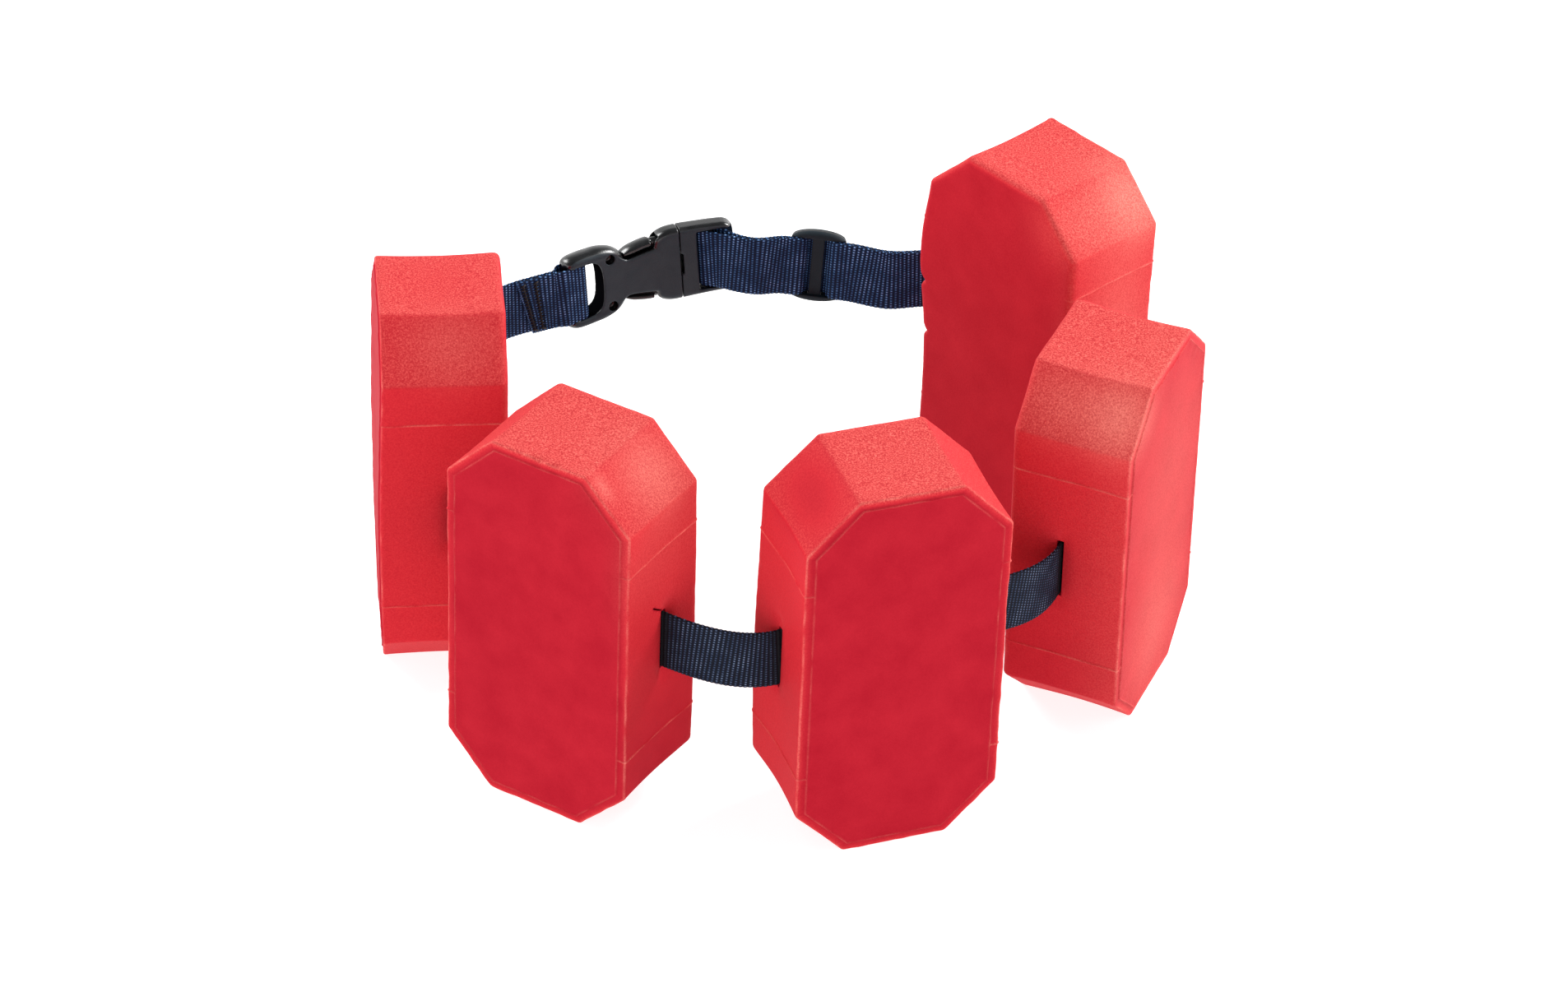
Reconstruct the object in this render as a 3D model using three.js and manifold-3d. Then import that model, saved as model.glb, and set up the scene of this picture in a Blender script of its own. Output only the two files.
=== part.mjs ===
// Swim belt: foam floats strung on a webbing belt with a side-release buckle and a strap slider.
// Millimetres, +Z up. The belt stands on the floor on the lower ends of its floats. The origin is on
// the floor under the middle of the belt, +X is its long way and +Y points to the buckle side.
import * as THREE from "three";
import { TessellateModifier } from "three/addons/modifiers/TessellateModifier.js";
import { mergeVertices } from "three/addons/utils/BufferGeometryUtils.js";
import Module from "manifold-3d";

const wasm = await Module();
wasm.setup();

// Driving dimensions of one float, a long octagonal prism with a slot a little nearer its inner face
const FLOAT = {
  height: 190,
  width: 94,
  depth: 56,
  cornerAcross: 23,
  cornerDown: 24,
  bevelAcross: 2,
  bevelDeep: 1.6,
  slotHeight: 32,
  slotWidth: 3.6,
  slotDrop: 1.5,
  slotInward: 3.5,
};

// Where each float's middle stands, how far it is turned about Z and rolled about its own depth
const FLOATS = [
  { name: "float_left", x: -156.6, y: -9.8, turn: -83.0, roll: 0 },
  { name: "float_front_left", x: -91.1, y: -118.0, turn: -30.0, roll: 0 },
  { name: "float_front_right", x: 45.8, y: -130.4, turn: 20.2, roll: 0 },
  { name: "float_right", x: 145.1, y: -32.1, turn: 67.4, roll: -3.4 },
  { name: "float_back_right", x: 116.0, y: 115.1, turn: 134.1, roll: 0 },
];

// Webbing section, the gap between two layers, and how finely its bends are divided
const WEBBING = { width: 30, thick: 1.6, layerGap: 0.4, stepDegrees: 14, stepLength: 16 };

// Places of the buckle's seam and of the slider's middle: heading about Z, lean back, rise to the right
const BUCKLE = { x: -54.7, y: 159.1, z: 95.2, heading: 26, lean: 5.5, rise: 2.7 };
const SLIDER_PLACE = { x: 11.6, y: 162.6, z: 93.8, heading: -5, lean: 7, rise: -1.8 };

// The buckle is arched to follow the waist: radius, where the arch is highest and how far out, facets
const ARCH = { radius: 180, middle: -20, out: 1.8, facet: 8, passes: 10 };

// Buckle socket: outline half widths along its length, zero at the seam
const SOCKET = { bodyThick: 10, loopThick: 8, bevel: 1.5, end: -61.8, barThick: 4.8 };
const SOCKET_BODY = [
  { along: -0.25, half: 19.2 },
  { along: -7.5, half: 19.2 },
  { along: -11.5, half: 18.0 },
  { along: -13.4, half: 15.4 },
  { along: -13.8, half: 11.8 },
  { along: -28.6, half: 9.6 },
  { along: -31.0, half: 12.2 },
  { along: -42.0, half: 13.0 },
];
const SOCKET_LOOP = [
  { along: -30.4, half: 12.2 },
  { along: -34.5, half: 15.8 },
  { along: -41.0, half: 18.6 },
  { along: -48.0, half: 19.7 },
  { along: -54.0, half: 18.9 },
  { along: -59.0, half: 16.4 },
  { along: -61.8, half: 12.6 },
];
const SOCKET_OPENING = { from: -56.6, to: -41.5, half: 15.4, corner: 4 };
const SOCKET_CAVITY = { from: -29.6, half: 16.9, thick: 6.2 };

// Buckle plug: frame with a middle bar and an end bar, and two prongs with release tabs
const PLUG = {
  thick: 9.4,
  bevel: 1.5,
  seam: 0.25,
  end: 27.6,
  half: 19.2,
  endHalf: 18.2,
  endCorner: 6,
  slotFrom: 6.7,
  slotTo: 22.8,
  slotHalf: 15.9,
  barFrom: 14.6,
  barTo: 18.2,
  barThick: 2.8,
  endBarInside: 0.3,
  notchDeep: 1.6,
  notchHalf: 5.8,
};
const PRONG = { thick: 5.2, tabThick: 8.4 };
const PRONG_ARM = [
  { along: 1.5, inner: 10.6, outer: 16.0 },
  { along: -14.2, inner: 10.6, outer: 16.0 },
  { along: -19.0, inner: 10.2, outer: 15.4 },
  { along: -25.0, inner: 9.8, outer: 14.3 },
  { along: -29.0, inner: 9.6, outer: 12.5 },
];
const PRONG_TAB = [
  { along: -14.2, inner: 12.7, outer: 16.0 },
  { along: -19.0, inner: 12.0, outer: 15.4 },
  { along: -25.0, inner: 11.2, outer: 14.3 },
  { along: -29.0, inner: 11.3, outer: 12.5 },
];

// Slider: straight sides, arched ends, two slots beside a middle bar
const SLIDER = {
  half: 13.3,
  side: 14,
  rise: 4.6,
  thick: 3.6,
  bevel: 0.6,
  barThick: 2.2,
  slotFrom: 3,
  slotTo: 10.5,
  slotHalf: 15.6,
};

// Webbing in the arched buckle: along it, out of the belt, and the way it runs in degrees
const SOCKET_TURN = [
  { along: -61.8, out: -3.7, heading: 0 },
  { along: -55.6, out: -3.7, heading: 0 },
  { along: -51.9, out: 0, heading: 90 },
  { along: -55.6, out: 3.7, heading: 180 },
  { along: -61.8, out: 3.7, heading: 180 },
];
const PLUG_TURN = [
  { along: 16.4, out: -5.0, heading: 142 },
  { along: 10.2, out: 0.3, heading: 98 },
  { along: 13.8, out: 3.9, heading: 0 },
  { along: 20.4, out: 0.4, heading: -64 },
];

// Middle line of the two layers in the slider's own frame, from the float side to the buckle side
const SLIDER_WEAVE = [
  { along: 14.5, out: -3.65, heading: 180 },
  { along: 10.8, out: -3.65, heading: 180 },
  { along: 6.75, out: 0, heading: 96 },
  { along: 0, out: 3.65, heading: 180 },
  { along: -6.75, out: 0, heading: 264 },
  { along: -10.8, out: -3.65, heading: 180 },
  { along: -14.5, out: -3.65, heading: 180 },
];

// Middle line of two layers where they run free of the hardware, and where they are sewn together
const FREE_TO_SLIDER = [
  { x: 69.4, y: 155.4, z: 92.6, heading: 164, lean: 3 },
  { x: 46.4, y: 153.1, z: 91.6, heading: 177, lean: 8 },
];
const FREE_TO_PLUG = [{ x: -18.6, y: 155.8, z: 96.3, heading: 176, lean: 4 }];
const SEWN = [
  { x: -113.1, y: 125.7, z: 92.3, heading: 209, lean: 4 },
  { x: -122.1, y: 120.5, z: 92.4, heading: 210, lean: 3 },
];

const foam = new THREE.MeshStandardMaterial({ color: 0xd4283a, roughness: 0.75, metalness: 0 });
const cloth = new THREE.MeshStandardMaterial({ color: 0x1d2a52, roughness: 0.85, metalness: 0 });
const plastic = new THREE.MeshStandardMaterial({ color: 0x1b1c1f, roughness: 0.45, metalness: 0 });

const radians = THREE.MathUtils.degToRad;
const WELD = 1e-4;
const ARC_PARTS = 6;
const SPLINE_PARTS = 4;

function solidOf(geometry) {
  const bare = geometry.clone();
  bare.deleteAttribute("normal");
  bare.deleteAttribute("uv");
  const merged = mergeVertices(bare, WELD);
  const mesh = new wasm.Mesh({
    numProp: 3,
    vertProperties: new Float32Array(merged.attributes.position.array),
    triVerts: new Uint32Array(merged.index.array),
  });
  return new wasm.Manifold(mesh);
}

function geometryOf(solid) {
  const mesh = solid.getMesh();
  const geometry = new THREE.BufferGeometry();
  geometry.setAttribute("position", new THREE.BufferAttribute(mesh.vertProperties, 3));
  geometry.setIndex(new THREE.BufferAttribute(mesh.triVerts, 1));
  geometry.computeVertexNormals();
  return geometry;
}

// A flat outline in X and Z given thickness along Y, with its edges bevelled inside the outline
function slab(shape, thick, bevelAcross, bevelDeep) {
  const geometry = new THREE.ExtrudeGeometry(shape, {
    depth: thick - 2 * bevelDeep,
    bevelEnabled: bevelAcross > 0,
    bevelSize: bevelAcross,
    bevelOffset: -bevelAcross,
    bevelThickness: bevelDeep,
    bevelSegments: 1,
    curveSegments: ARC_PARTS,
  });
  geometry.translate(0, 0, bevelDeep - thick / 2);
  return geometry.rotateX(Math.PI / 2);
}

function block(low, high) {
  const box = new THREE.BoxGeometry(high.x - low.x, high.y - low.y, high.z - low.z);
  return solidOf(box.translate((low.x + high.x) / 2, (low.y + high.y) / 2, (low.z + high.z) / 2));
}

// Outline that is the same above and below its middle line, from rows of half widths
function mirroredOutline(rows, smooth) {
  let upper = rows.map((row) => new THREE.Vector2(row.along, row.half));
  if (smooth) {
    upper = new THREE.SplineCurve(upper).getPoints(SPLINE_PARTS * (rows.length - 1));
  }
  const lower = upper.map((point) => new THREE.Vector2(point.x, -point.y)).reverse();
  return new THREE.Shape([...upper, ...lower]);
}

function roundedOpening(from, to, half, corner) {
  const shape = new THREE.Shape();
  shape.moveTo(from, half);
  shape.lineTo(to - corner, half);
  shape.absarc(to - corner, half - corner, corner, Math.PI / 2, 0, true);
  shape.lineTo(to, corner - half);
  shape.absarc(to - corner, corner - half, corner, 0, -Math.PI / 2, true);
  shape.lineTo(from, -half);
  return shape;
}

function floatSolid() {
  const side = FLOAT.width / 2;
  const top = FLOAT.height / 2;
  const shape = mirroredOutline([
    { along: -side, half: top - FLOAT.cornerDown },
    { along: FLOAT.cornerAcross - side, half: top },
    { along: side - FLOAT.cornerAcross, half: top },
    { along: side, half: top - FLOAT.cornerDown },
  ], false);
  const prism = solidOf(slab(shape, FLOAT.depth, FLOAT.bevelAcross, FLOAT.bevelDeep));
  const middle = new THREE.Vector3(0, FLOAT.slotInward, -FLOAT.slotDrop);
  const reach = new THREE.Vector3(FLOAT.width, FLOAT.slotWidth / 2, FLOAT.slotHeight / 2);
  const slot = block(middle.clone().sub(reach), middle.clone().add(reach));
  return prism.subtract(slot);
}

// A rolled float stands on the end of its lower face, so its middle is a little higher
function floatMatrix(row) {
  const roll = radians(row.roll);
  const reach = FLOAT.width / 2 - FLOAT.cornerAcross;
  const z = (FLOAT.height / 2) * Math.cos(roll) + reach * Math.abs(Math.sin(roll));
  const angles = new THREE.Euler(0, roll, radians(row.turn), "ZYX");
  return new THREE.Matrix4().makeRotationFromEuler(angles).setPosition(row.x, row.y, z);
}

function hardwareMatrix(place) {
  const [lean, rise, heading] = [place.lean, place.rise, place.heading].map(radians);
  const angles = new THREE.Euler(-lean, -rise, heading, "ZXY");
  return new THREE.Matrix4().makeRotationFromEuler(angles).setPosition(place.x, place.y, place.z);
}

// Where a point of the straight buckle lies on its arch, and how far the arch has turned there
function archPoint(along, out) {
  const turn = (along - ARCH.middle) / ARCH.radius;
  const reach = ARCH.radius + out;
  return {
    along: ARCH.middle + reach * Math.sin(turn),
    out: ARCH.out + reach * Math.cos(turn) - ARCH.radius,
    turn: THREE.MathUtils.radToDeg(turn),
  };
}

function archedGeometry(solid) {
  const fine = new TessellateModifier(ARCH.facet, ARCH.passes).modify(geometryOf(solid));
  fine.deleteAttribute("normal");
  const merged = mergeVertices(fine, WELD);
  const points = merged.attributes.position;
  for (let i = 0; i < points.count; i += 1) {
    const place = archPoint(points.getX(i), points.getY(i));
    points.setXY(i, place.along, place.out);
  }
  merged.computeVertexNormals();
  return merged;
}

function socketSolid() {
  const bodyShape = mirroredOutline(SOCKET_BODY, false);
  const loopShape = mirroredOutline(SOCKET_LOOP, true);
  const body = solidOf(slab(bodyShape, SOCKET.bodyThick, SOCKET.bevel, SOCKET.bevel));
  const loop = solidOf(slab(loopShape, SOCKET.loopThick, SOCKET.bevel, SOCKET.bevel));
  const opening = SOCKET_OPENING;
  const gap = roundedOpening(opening.from, opening.to, opening.half, opening.corner);
  const through = solidOf(slab(gap, 2 * SOCKET.bodyThick, 0, 0));
  const bar = { from: 2 * SOCKET.end, to: opening.from, half: SOCKET.barThick / 2 };
  const inside = block(
    new THREE.Vector3(bar.from, -SOCKET.bodyThick, -opening.half),
    new THREE.Vector3(bar.to, -bar.half, opening.half),
  );
  const outside = block(
    new THREE.Vector3(bar.from, bar.half, -opening.half),
    new THREE.Vector3(bar.to, SOCKET.bodyThick, opening.half),
  );
  const cavity = block(
    new THREE.Vector3(SOCKET_CAVITY.from, -SOCKET_CAVITY.thick / 2, -SOCKET_CAVITY.half),
    new THREE.Vector3(PLUG.end, SOCKET_CAVITY.thick / 2, SOCKET_CAVITY.half),
  );
  return body.add(loop).subtract(through).subtract(inside).subtract(outside).subtract(cavity);
}

function prongSolid(rows, thick, side) {
  const outer = rows.map((row) => new THREE.Vector2(row.along, side * row.outer));
  const inner = rows.map((row) => new THREE.Vector2(row.along, side * row.inner)).reverse();
  return solidOf(slab(new THREE.Shape([...outer, ...inner]), thick, 0, 0));
}

function plugSolid() {
  const shape = new THREE.Shape();
  const cornerFrom = PLUG.end - PLUG.endCorner;
  shape.moveTo(PLUG.seam, -PLUG.half);
  shape.lineTo(cornerFrom, -PLUG.endHalf);
  shape.absarc(cornerFrom, PLUG.endCorner - PLUG.endHalf, PLUG.endCorner, -Math.PI / 2, 0, false);
  shape.absarc(cornerFrom, PLUG.endHalf - PLUG.endCorner, PLUG.endCorner, 0, Math.PI / 2, false);
  shape.lineTo(PLUG.seam, PLUG.half);
  const frame = solidOf(slab(shape, PLUG.thick, PLUG.bevel, PLUG.bevel));
  const slot = block(
    new THREE.Vector3(PLUG.slotFrom, -PLUG.thick, -PLUG.slotHalf),
    new THREE.Vector3(PLUG.slotTo, PLUG.thick, PLUG.slotHalf),
  );
  const recess = block(
    new THREE.Vector3(PLUG.slotFrom, -PLUG.thick, -PLUG.slotHalf),
    new THREE.Vector3(2 * PLUG.end, PLUG.endBarInside, PLUG.slotHalf),
  );
  const notch = block(
    new THREE.Vector3(-PLUG.notchDeep, -PLUG.thick, -PLUG.notchHalf),
    new THREE.Vector3(PLUG.notchDeep, 0, PLUG.notchHalf),
  );
  const bar = block(
    new THREE.Vector3(PLUG.barFrom, -PLUG.barThick / 2, -PLUG.slotHalf - PLUG.bevel),
    new THREE.Vector3(PLUG.barTo, PLUG.barThick / 2, PLUG.slotHalf + PLUG.bevel),
  );
  let plug = frame.subtract(slot).subtract(recess).subtract(notch).add(bar);
  for (const side of [-1, 1]) {
    plug = plug.add(prongSolid(PRONG_ARM, PRONG.thick, side));
    plug = plug.add(prongSolid(PRONG_TAB, PRONG.tabThick, side));
  }
  return plug;
}

function sliderSolid() {
  const shape = new THREE.Shape();
  shape.moveTo(SLIDER.half, 0);
  shape.lineTo(SLIDER.half, SLIDER.side);
  shape.absellipse(0, SLIDER.side, SLIDER.half, SLIDER.rise, 0, Math.PI, false, 0);
  shape.lineTo(-SLIDER.half, -SLIDER.side);
  shape.absellipse(0, -SLIDER.side, SLIDER.half, SLIDER.rise, Math.PI, 2 * Math.PI, false, 0);
  let slider = solidOf(slab(shape, SLIDER.thick, SLIDER.bevel, SLIDER.bevel));
  const barHalf = SLIDER.barThick / 2;
  for (const [low, high] of [[-SLIDER.thick, -barHalf], [barHalf, SLIDER.thick]]) {
    slider = slider.subtract(block(
      new THREE.Vector3(-2 * SLIDER.half, low, -SLIDER.slotHalf),
      new THREE.Vector3(2 * SLIDER.half, high, SLIDER.slotHalf),
    ));
  }
  for (const side of [-1, 1]) {
    const ends = [side * SLIDER.slotFrom, side * SLIDER.slotTo];
    slider = slider.subtract(block(
      new THREE.Vector3(Math.min(...ends), -SLIDER.thick, -SLIDER.slotHalf),
      new THREE.Vector3(Math.max(...ends), SLIDER.thick, SLIDER.slotHalf),
    ));
  }
  return slider;
}

// A station of the webbing is a point, the way it runs there, and the way its width points
function station(matrix, along, out, rise, heading) {
  const angle = radians(heading);
  return {
    at: new THREE.Vector3(along, out, rise).applyMatrix4(matrix),
    run: new THREE.Vector3(Math.cos(angle), Math.sin(angle), 0).transformDirection(matrix),
    up: new THREE.Vector3(0, 0, 1).transformDirection(matrix),
  };
}

function freeStation(row) {
  const frame = hardwareMatrix({ ...row, heading: row.heading - 180, rise: 0 });
  return station(frame, 0, 0, 0, 180);
}

function archStation(matrix, row) {
  const place = archPoint(row.along, row.out);
  return station(matrix, place.along, place.out, 0, row.heading - place.turn);
}

function sideways(mark, distance) {
  const out = new THREE.Vector3().crossVectors(mark.run, mark.up).normalize();
  return { ...mark, at: mark.at.clone().addScaledVector(out, distance) };
}

function turnedBack(mark) {
  return { ...mark, run: mark.run.clone().negate() };
}

// The arm lengths that make each span between two stations close to an arc
function spanCurve(from, to) {
  const turn = from.run.angleTo(to.run);
  const arm = from.at.distanceTo(to.at) / (3 * Math.cos(turn / 4) ** 2);
  return new THREE.CubicBezierCurve3(
    from.at,
    from.at.clone().addScaledVector(from.run, arm),
    to.at.clone().addScaledVector(to.run, -arm),
    to.at,
  );
}

function sections(stations) {
  const list = [];
  for (let i = 0; i + 1 < stations.length; i += 1) {
    const [from, to] = [stations[i], stations[i + 1]];
    const curve = spanCurve(from, to);
    const bend = THREE.MathUtils.radToDeg(from.run.angleTo(to.run));
    const finest = Math.max(bend / WEBBING.stepDegrees, curve.getLength() / WEBBING.stepLength);
    const parts = Math.max(1, Math.ceil(finest));
    const last = i + 2 === stations.length ? parts : parts - 1;
    for (let k = 0; k <= last; k += 1) {
      const share = k / parts;
      list.push({
        at: curve.getPoint(share),
        run: curve.getTangent(share),
        up: from.up.clone().lerp(to.up, share),
      });
    }
  }
  return list;
}

function webbingGeometry(stations) {
  const points = [];
  const faces = [];
  const list = sections(stations);
  for (const part of list) {
    const across = new THREE.Vector3().crossVectors(part.run, part.up).setLength(WEBBING.thick / 2);
    const up = new THREE.Vector3().crossVectors(across, part.run).setLength(WEBBING.width / 2);
    for (const [high, wide] of [[1, 1], [1, -1], [-1, -1], [-1, 1]]) {
      const corner = part.at.clone().addScaledVector(up, high).addScaledVector(across, wide);
      points.push(corner.x, corner.y, corner.z);
    }
  }
  for (let i = 0; i + 1 < list.length; i += 1) {
    for (let k = 0; k < 4; k += 1) {
      const [a, b] = [4 * i + k, 4 * i + ((k + 1) % 4)];
      faces.push(a, a + 4, b + 4, a, b + 4, b);
    }
  }
  const end = 4 * (list.length - 1);
  faces.push(0, 1, 2, 0, 2, 3, end, end + 2, end + 1, end, end + 3, end + 2);
  const geometry = new THREE.BufferGeometry();
  geometry.setAttribute("position", new THREE.Float32BufferAttribute(points, 3));
  geometry.setIndex(faces);
  geometry.computeVertexNormals();
  return geometry;
}

// The webbing's way: sewn loop on the socket, through the floats, slider, plug bar, back as the tail
function webbingStations(buckle, slider) {
  const apart = (WEBBING.thick + WEBBING.layerGap) / 2;
  const inBuckle = (row) => archStation(buckle, row);
  const sewn = SEWN.map(freeStation);
  const way = [
    ...sewn.map((mark) => turnedBack(sideways(mark, -apart))).reverse(),
    ...SOCKET_TURN.map(inBuckle),
    ...sewn.map((mark) => sideways(mark, apart)),
  ];
  for (const row of FLOATS) {
    const matrix = floatMatrix(row);
    for (const end of [-FLOAT.width / 2, FLOAT.width / 2]) {
      way.push(station(matrix, end, FLOAT.slotInward, -FLOAT.slotDrop, 0));
    }
  }
  const pair = [
    ...FREE_TO_SLIDER.map(freeStation),
    ...SLIDER_WEAVE.map((row) => station(slider, row.along, row.out, 0, row.heading)),
    ...FREE_TO_PLUG.map(freeStation),
  ];
  const inner = pair.map((mark) => sideways(mark, -apart));
  const outer = pair.map((mark) => turnedBack(sideways(mark, apart))).reverse();
  return [...way, ...inner, ...PLUG_TURN.map(inBuckle), ...outer];
}

const belt = new THREE.Group();
belt.name = "swim_belt";

function addPiece(name, geometry, material, matrix) {
  const piece = new THREE.Mesh(geometry, material);
  piece.name = name;
  piece.applyMatrix4(matrix);
  belt.add(piece);
}

const floatShape = geometryOf(floatSolid());
for (const row of FLOATS) {
  addPiece(row.name, floatShape, foam, floatMatrix(row));
}
const buckleMatrix = hardwareMatrix(BUCKLE);
const sliderMatrix = hardwareMatrix(SLIDER_PLACE);
addPiece("buckle_socket", archedGeometry(socketSolid()), plastic, buckleMatrix);
addPiece("buckle_plug", archedGeometry(plugSolid()), plastic, buckleMatrix);
addPiece("slider", geometryOf(sliderSolid()), plastic, sliderMatrix);
const way = webbingStations(buckleMatrix, sliderMatrix);
addPiece("webbing", webbingGeometry(way), cloth, new THREE.Matrix4());

export default belt;
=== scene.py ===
"""Looks of the swim belt: foam floats, woven webbing, moulded buckle and slider, floor, light and camera.

Shapes are worked out in millimetres in the belt's frame, and written to Blender in metres.
"""
import math
from types import SimpleNamespace

import bmesh
import bpy
import numpy as np
from mathutils import Matrix, Vector, noise


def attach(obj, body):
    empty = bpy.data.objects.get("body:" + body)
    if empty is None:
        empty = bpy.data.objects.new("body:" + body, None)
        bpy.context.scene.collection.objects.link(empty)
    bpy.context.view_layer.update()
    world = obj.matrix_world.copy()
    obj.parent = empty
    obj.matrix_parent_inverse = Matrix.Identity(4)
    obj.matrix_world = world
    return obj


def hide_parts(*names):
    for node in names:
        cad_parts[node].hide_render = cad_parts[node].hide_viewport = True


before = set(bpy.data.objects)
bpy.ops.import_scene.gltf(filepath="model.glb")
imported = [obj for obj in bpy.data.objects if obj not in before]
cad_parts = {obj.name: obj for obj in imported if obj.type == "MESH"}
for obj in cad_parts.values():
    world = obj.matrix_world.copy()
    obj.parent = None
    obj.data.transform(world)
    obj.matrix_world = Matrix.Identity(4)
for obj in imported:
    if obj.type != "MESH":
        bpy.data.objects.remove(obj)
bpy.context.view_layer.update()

MM = 0.001
NOISE_MIDDLE = 0.5


def table(names, rows):
    """Rows of values as records with the given names."""
    return [dict(zip(names.split(), row)) for row in rows]


def rows_of(rows, node):
    return [row for row in rows if row["node"] == node]


# Photograph: width in pixels, focal length in pixels, and where the camera stands in millimetres
PHOTO = SimpleNamespace(width=1906, focal=6468.0)
CAMERA = SimpleNamespace(
    aim=(0.4, -13.9, 84.8), distance=2428.3, elevation=35.87, roll=2.38, sensor=36.0,
)

# Studio: white walls under a dark ceiling, by the upward share of the way looked, and round soft lamps
# with their places and sizes in metres and their powers in watts
LIGHT = SimpleNamespace(aim=(0.0, 0.0, 0.1), world=1.5)
STUDIO_TONES = [(0.25, (1.0, 1.0, 1.0)), (0.7, (0.12, 0.12, 0.12))]
FLOOR = SimpleNamespace(glow=0.82, half=6.0, cloud=3.0, rough=0.9)
FLOOR_TONES = [(0.0, (0.44, 0.44, 0.44)), (1.0, (0.46, 0.46, 0.46))]
LAMPS = table("name at size power", [
    ("right", (1.9, 0.0, 0.6), 1.0, 11.5),
    ("right_back", (1.5, 1.0, 1.5), 1.0, 48.0),
    ("left_back", (-1.5, 1.0, 1.5), 1.0, 32.0),
    ("left", (-1.9, 0.0, 0.6), 1.0, 2.5),
    ("front", (0.0, -1.9, 1.2), 1.2, 3.5),
    ("front_left", (-1.3, -1.5, 0.6), 1.0, 7.6),
])

# One float, a long octagonal prism of foam with a slot for the webbing
FLOAT = SimpleNamespace(
    height=190.0, width=94.0, depth=56.0, corner_across=23.0, corner_down=24.0, corner_radius=3.4,
    slot_height=31.2, slot_width=3.2, slot_drop=1.5, slot_inward=3.5,
)
FLOATS = table("node x y turn roll slot_tilt", [
    ("float_left", -156.6, -9.8, -83.0, 0.0, 0.0),
    ("float_front_left", -91.1, -118.0, -30.0, 0.0, 0.0),
    ("float_front_right", 45.8, -130.4, 20.2, 0.0, 4.0),
    ("float_right", 145.1, -32.1, 67.4, -3.4, 0.0),
    ("float_back_right", 116.0, 115.1, 134.1, 0.0, 0.0),
])

# Edge of a float's outer face, a ridge round a sunk strip, and of its inner face, a soft round:
# depth and inset, how pale the foam is made, for wear and, on the outer ridge and its round edge, as a
# painted highlight, and how far a mould line rises there
OUTER_RIM = table("deep inset pale tick", [
    (0.0, 5.2, 0.0, 0.0), (0.0, 4.7, 0.1, 0.0), (-0.22, 4.35, 0.32, 0.2), (0.05, 4.05, 0.15, 0.4),
    (0.4, 3.75, 0.0, 0.8), (0.4, 2.4, 0.0, 0.8), (0.42, 1.1, 0.05, 0.8), (0.5, 0.65, 0.5, 0.6),
    (0.8, 0.25, 0.6, 0.3), (1.3, 0.06, 0.2, 0.1), (1.9, 0.0, 0.0, 0.0),
])
INNER_RIM = table("deep inset pale tick", [
    (3.6, 0.0, 0.0, 0.0), (2.2, 0.25, 0.1, 0.0), (1.2, 0.8, 0.2, 0.0), (0.5, 1.7, 0.1, 0.0),
    (0.1, 2.9, 0.0, 0.0), (0.0, 4.2, 0.0, 0.0),
])

# Surface of the foam: mesh, hollows of its faces, mould line, open cells, pucker at the slot and
# unevenness. How open the cells look also holds painted light: tops and chamfers lighter as if lit from
# above, lower chamfers darker as painted shade. A tilt is how far a face round the float looks up or down,
# from 0 at its sides to 1 on top
FOAM = SimpleNamespace(
    cell=1.6, face_cell=4.0, fine_cell=1.0, fine_reach=7.0, merge=0.01, sharp=55.0, side_tilt=0.1,
    hollow_tilts=(0.1, 0.7, 1.0), side_hollow=0.5, corner_hollow=0.8, top_hollow=1.2,
    line_height=50.0, line_rise=0.45, line_half=0.4, line_sway=0.7, sway_length=9.0, line_pale=0.7,
    open_tilts=(0.2, 0.5, 0.8, 1.0), side_open=0.3, inner_open=0.07, corner_open=0.42, foot_lit_share=0.25,
    pucker=1.7, pucker_reach=4.5, swell=0.35, swell_length=30.0, rim_wear=0.3, rim_wear_length=5.0,
    fleck=0.5, fleck_swing=0.7, fleck_length=7.0, seed_step=400.0,
)

# Colours of the foam: its skin, its narrow sides and its open cells by the grain, whose lighter colour on
# tops is partly painted light, and the pale colour of wear and painted highlights
FOAM_TONES = {
    "skin": [(0.35, (0.365, 0.0065, 0.0180)), (0.65, (0.450, 0.0130, 0.0260))],
    "sides": [(0.35, (0.52, 0.0170, 0.0285)), (0.65, (0.61, 0.0310, 0.0405))],
    "open": [(0.35, (0.46, 0.024, 0.030)), (0.50, (0.61, 0.059, 0.059)), (0.65, (0.87, 0.165, 0.135))],
    "wear_and_painted_light": (0.86, 0.25, 0.20, 1.0),
}

# Grain of the foam: scales of its cells, pits and clouds, where it is pale, its sheen and its relief
FOAM_LOOK = SimpleNamespace(
    cells=1250.0, cells_detail=3.0, cells_rough=0.8, pits=900.0, pits_share=0.5, cloud=60.0,
    cloud_detail=4.0, pale_cells=(0.35, 0.65, 0.35), rough=(0.5, 0.72), sheen=0.03, skin_relief=0.12,
    relief=0.5, relief_height=0.0005,
)

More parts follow.
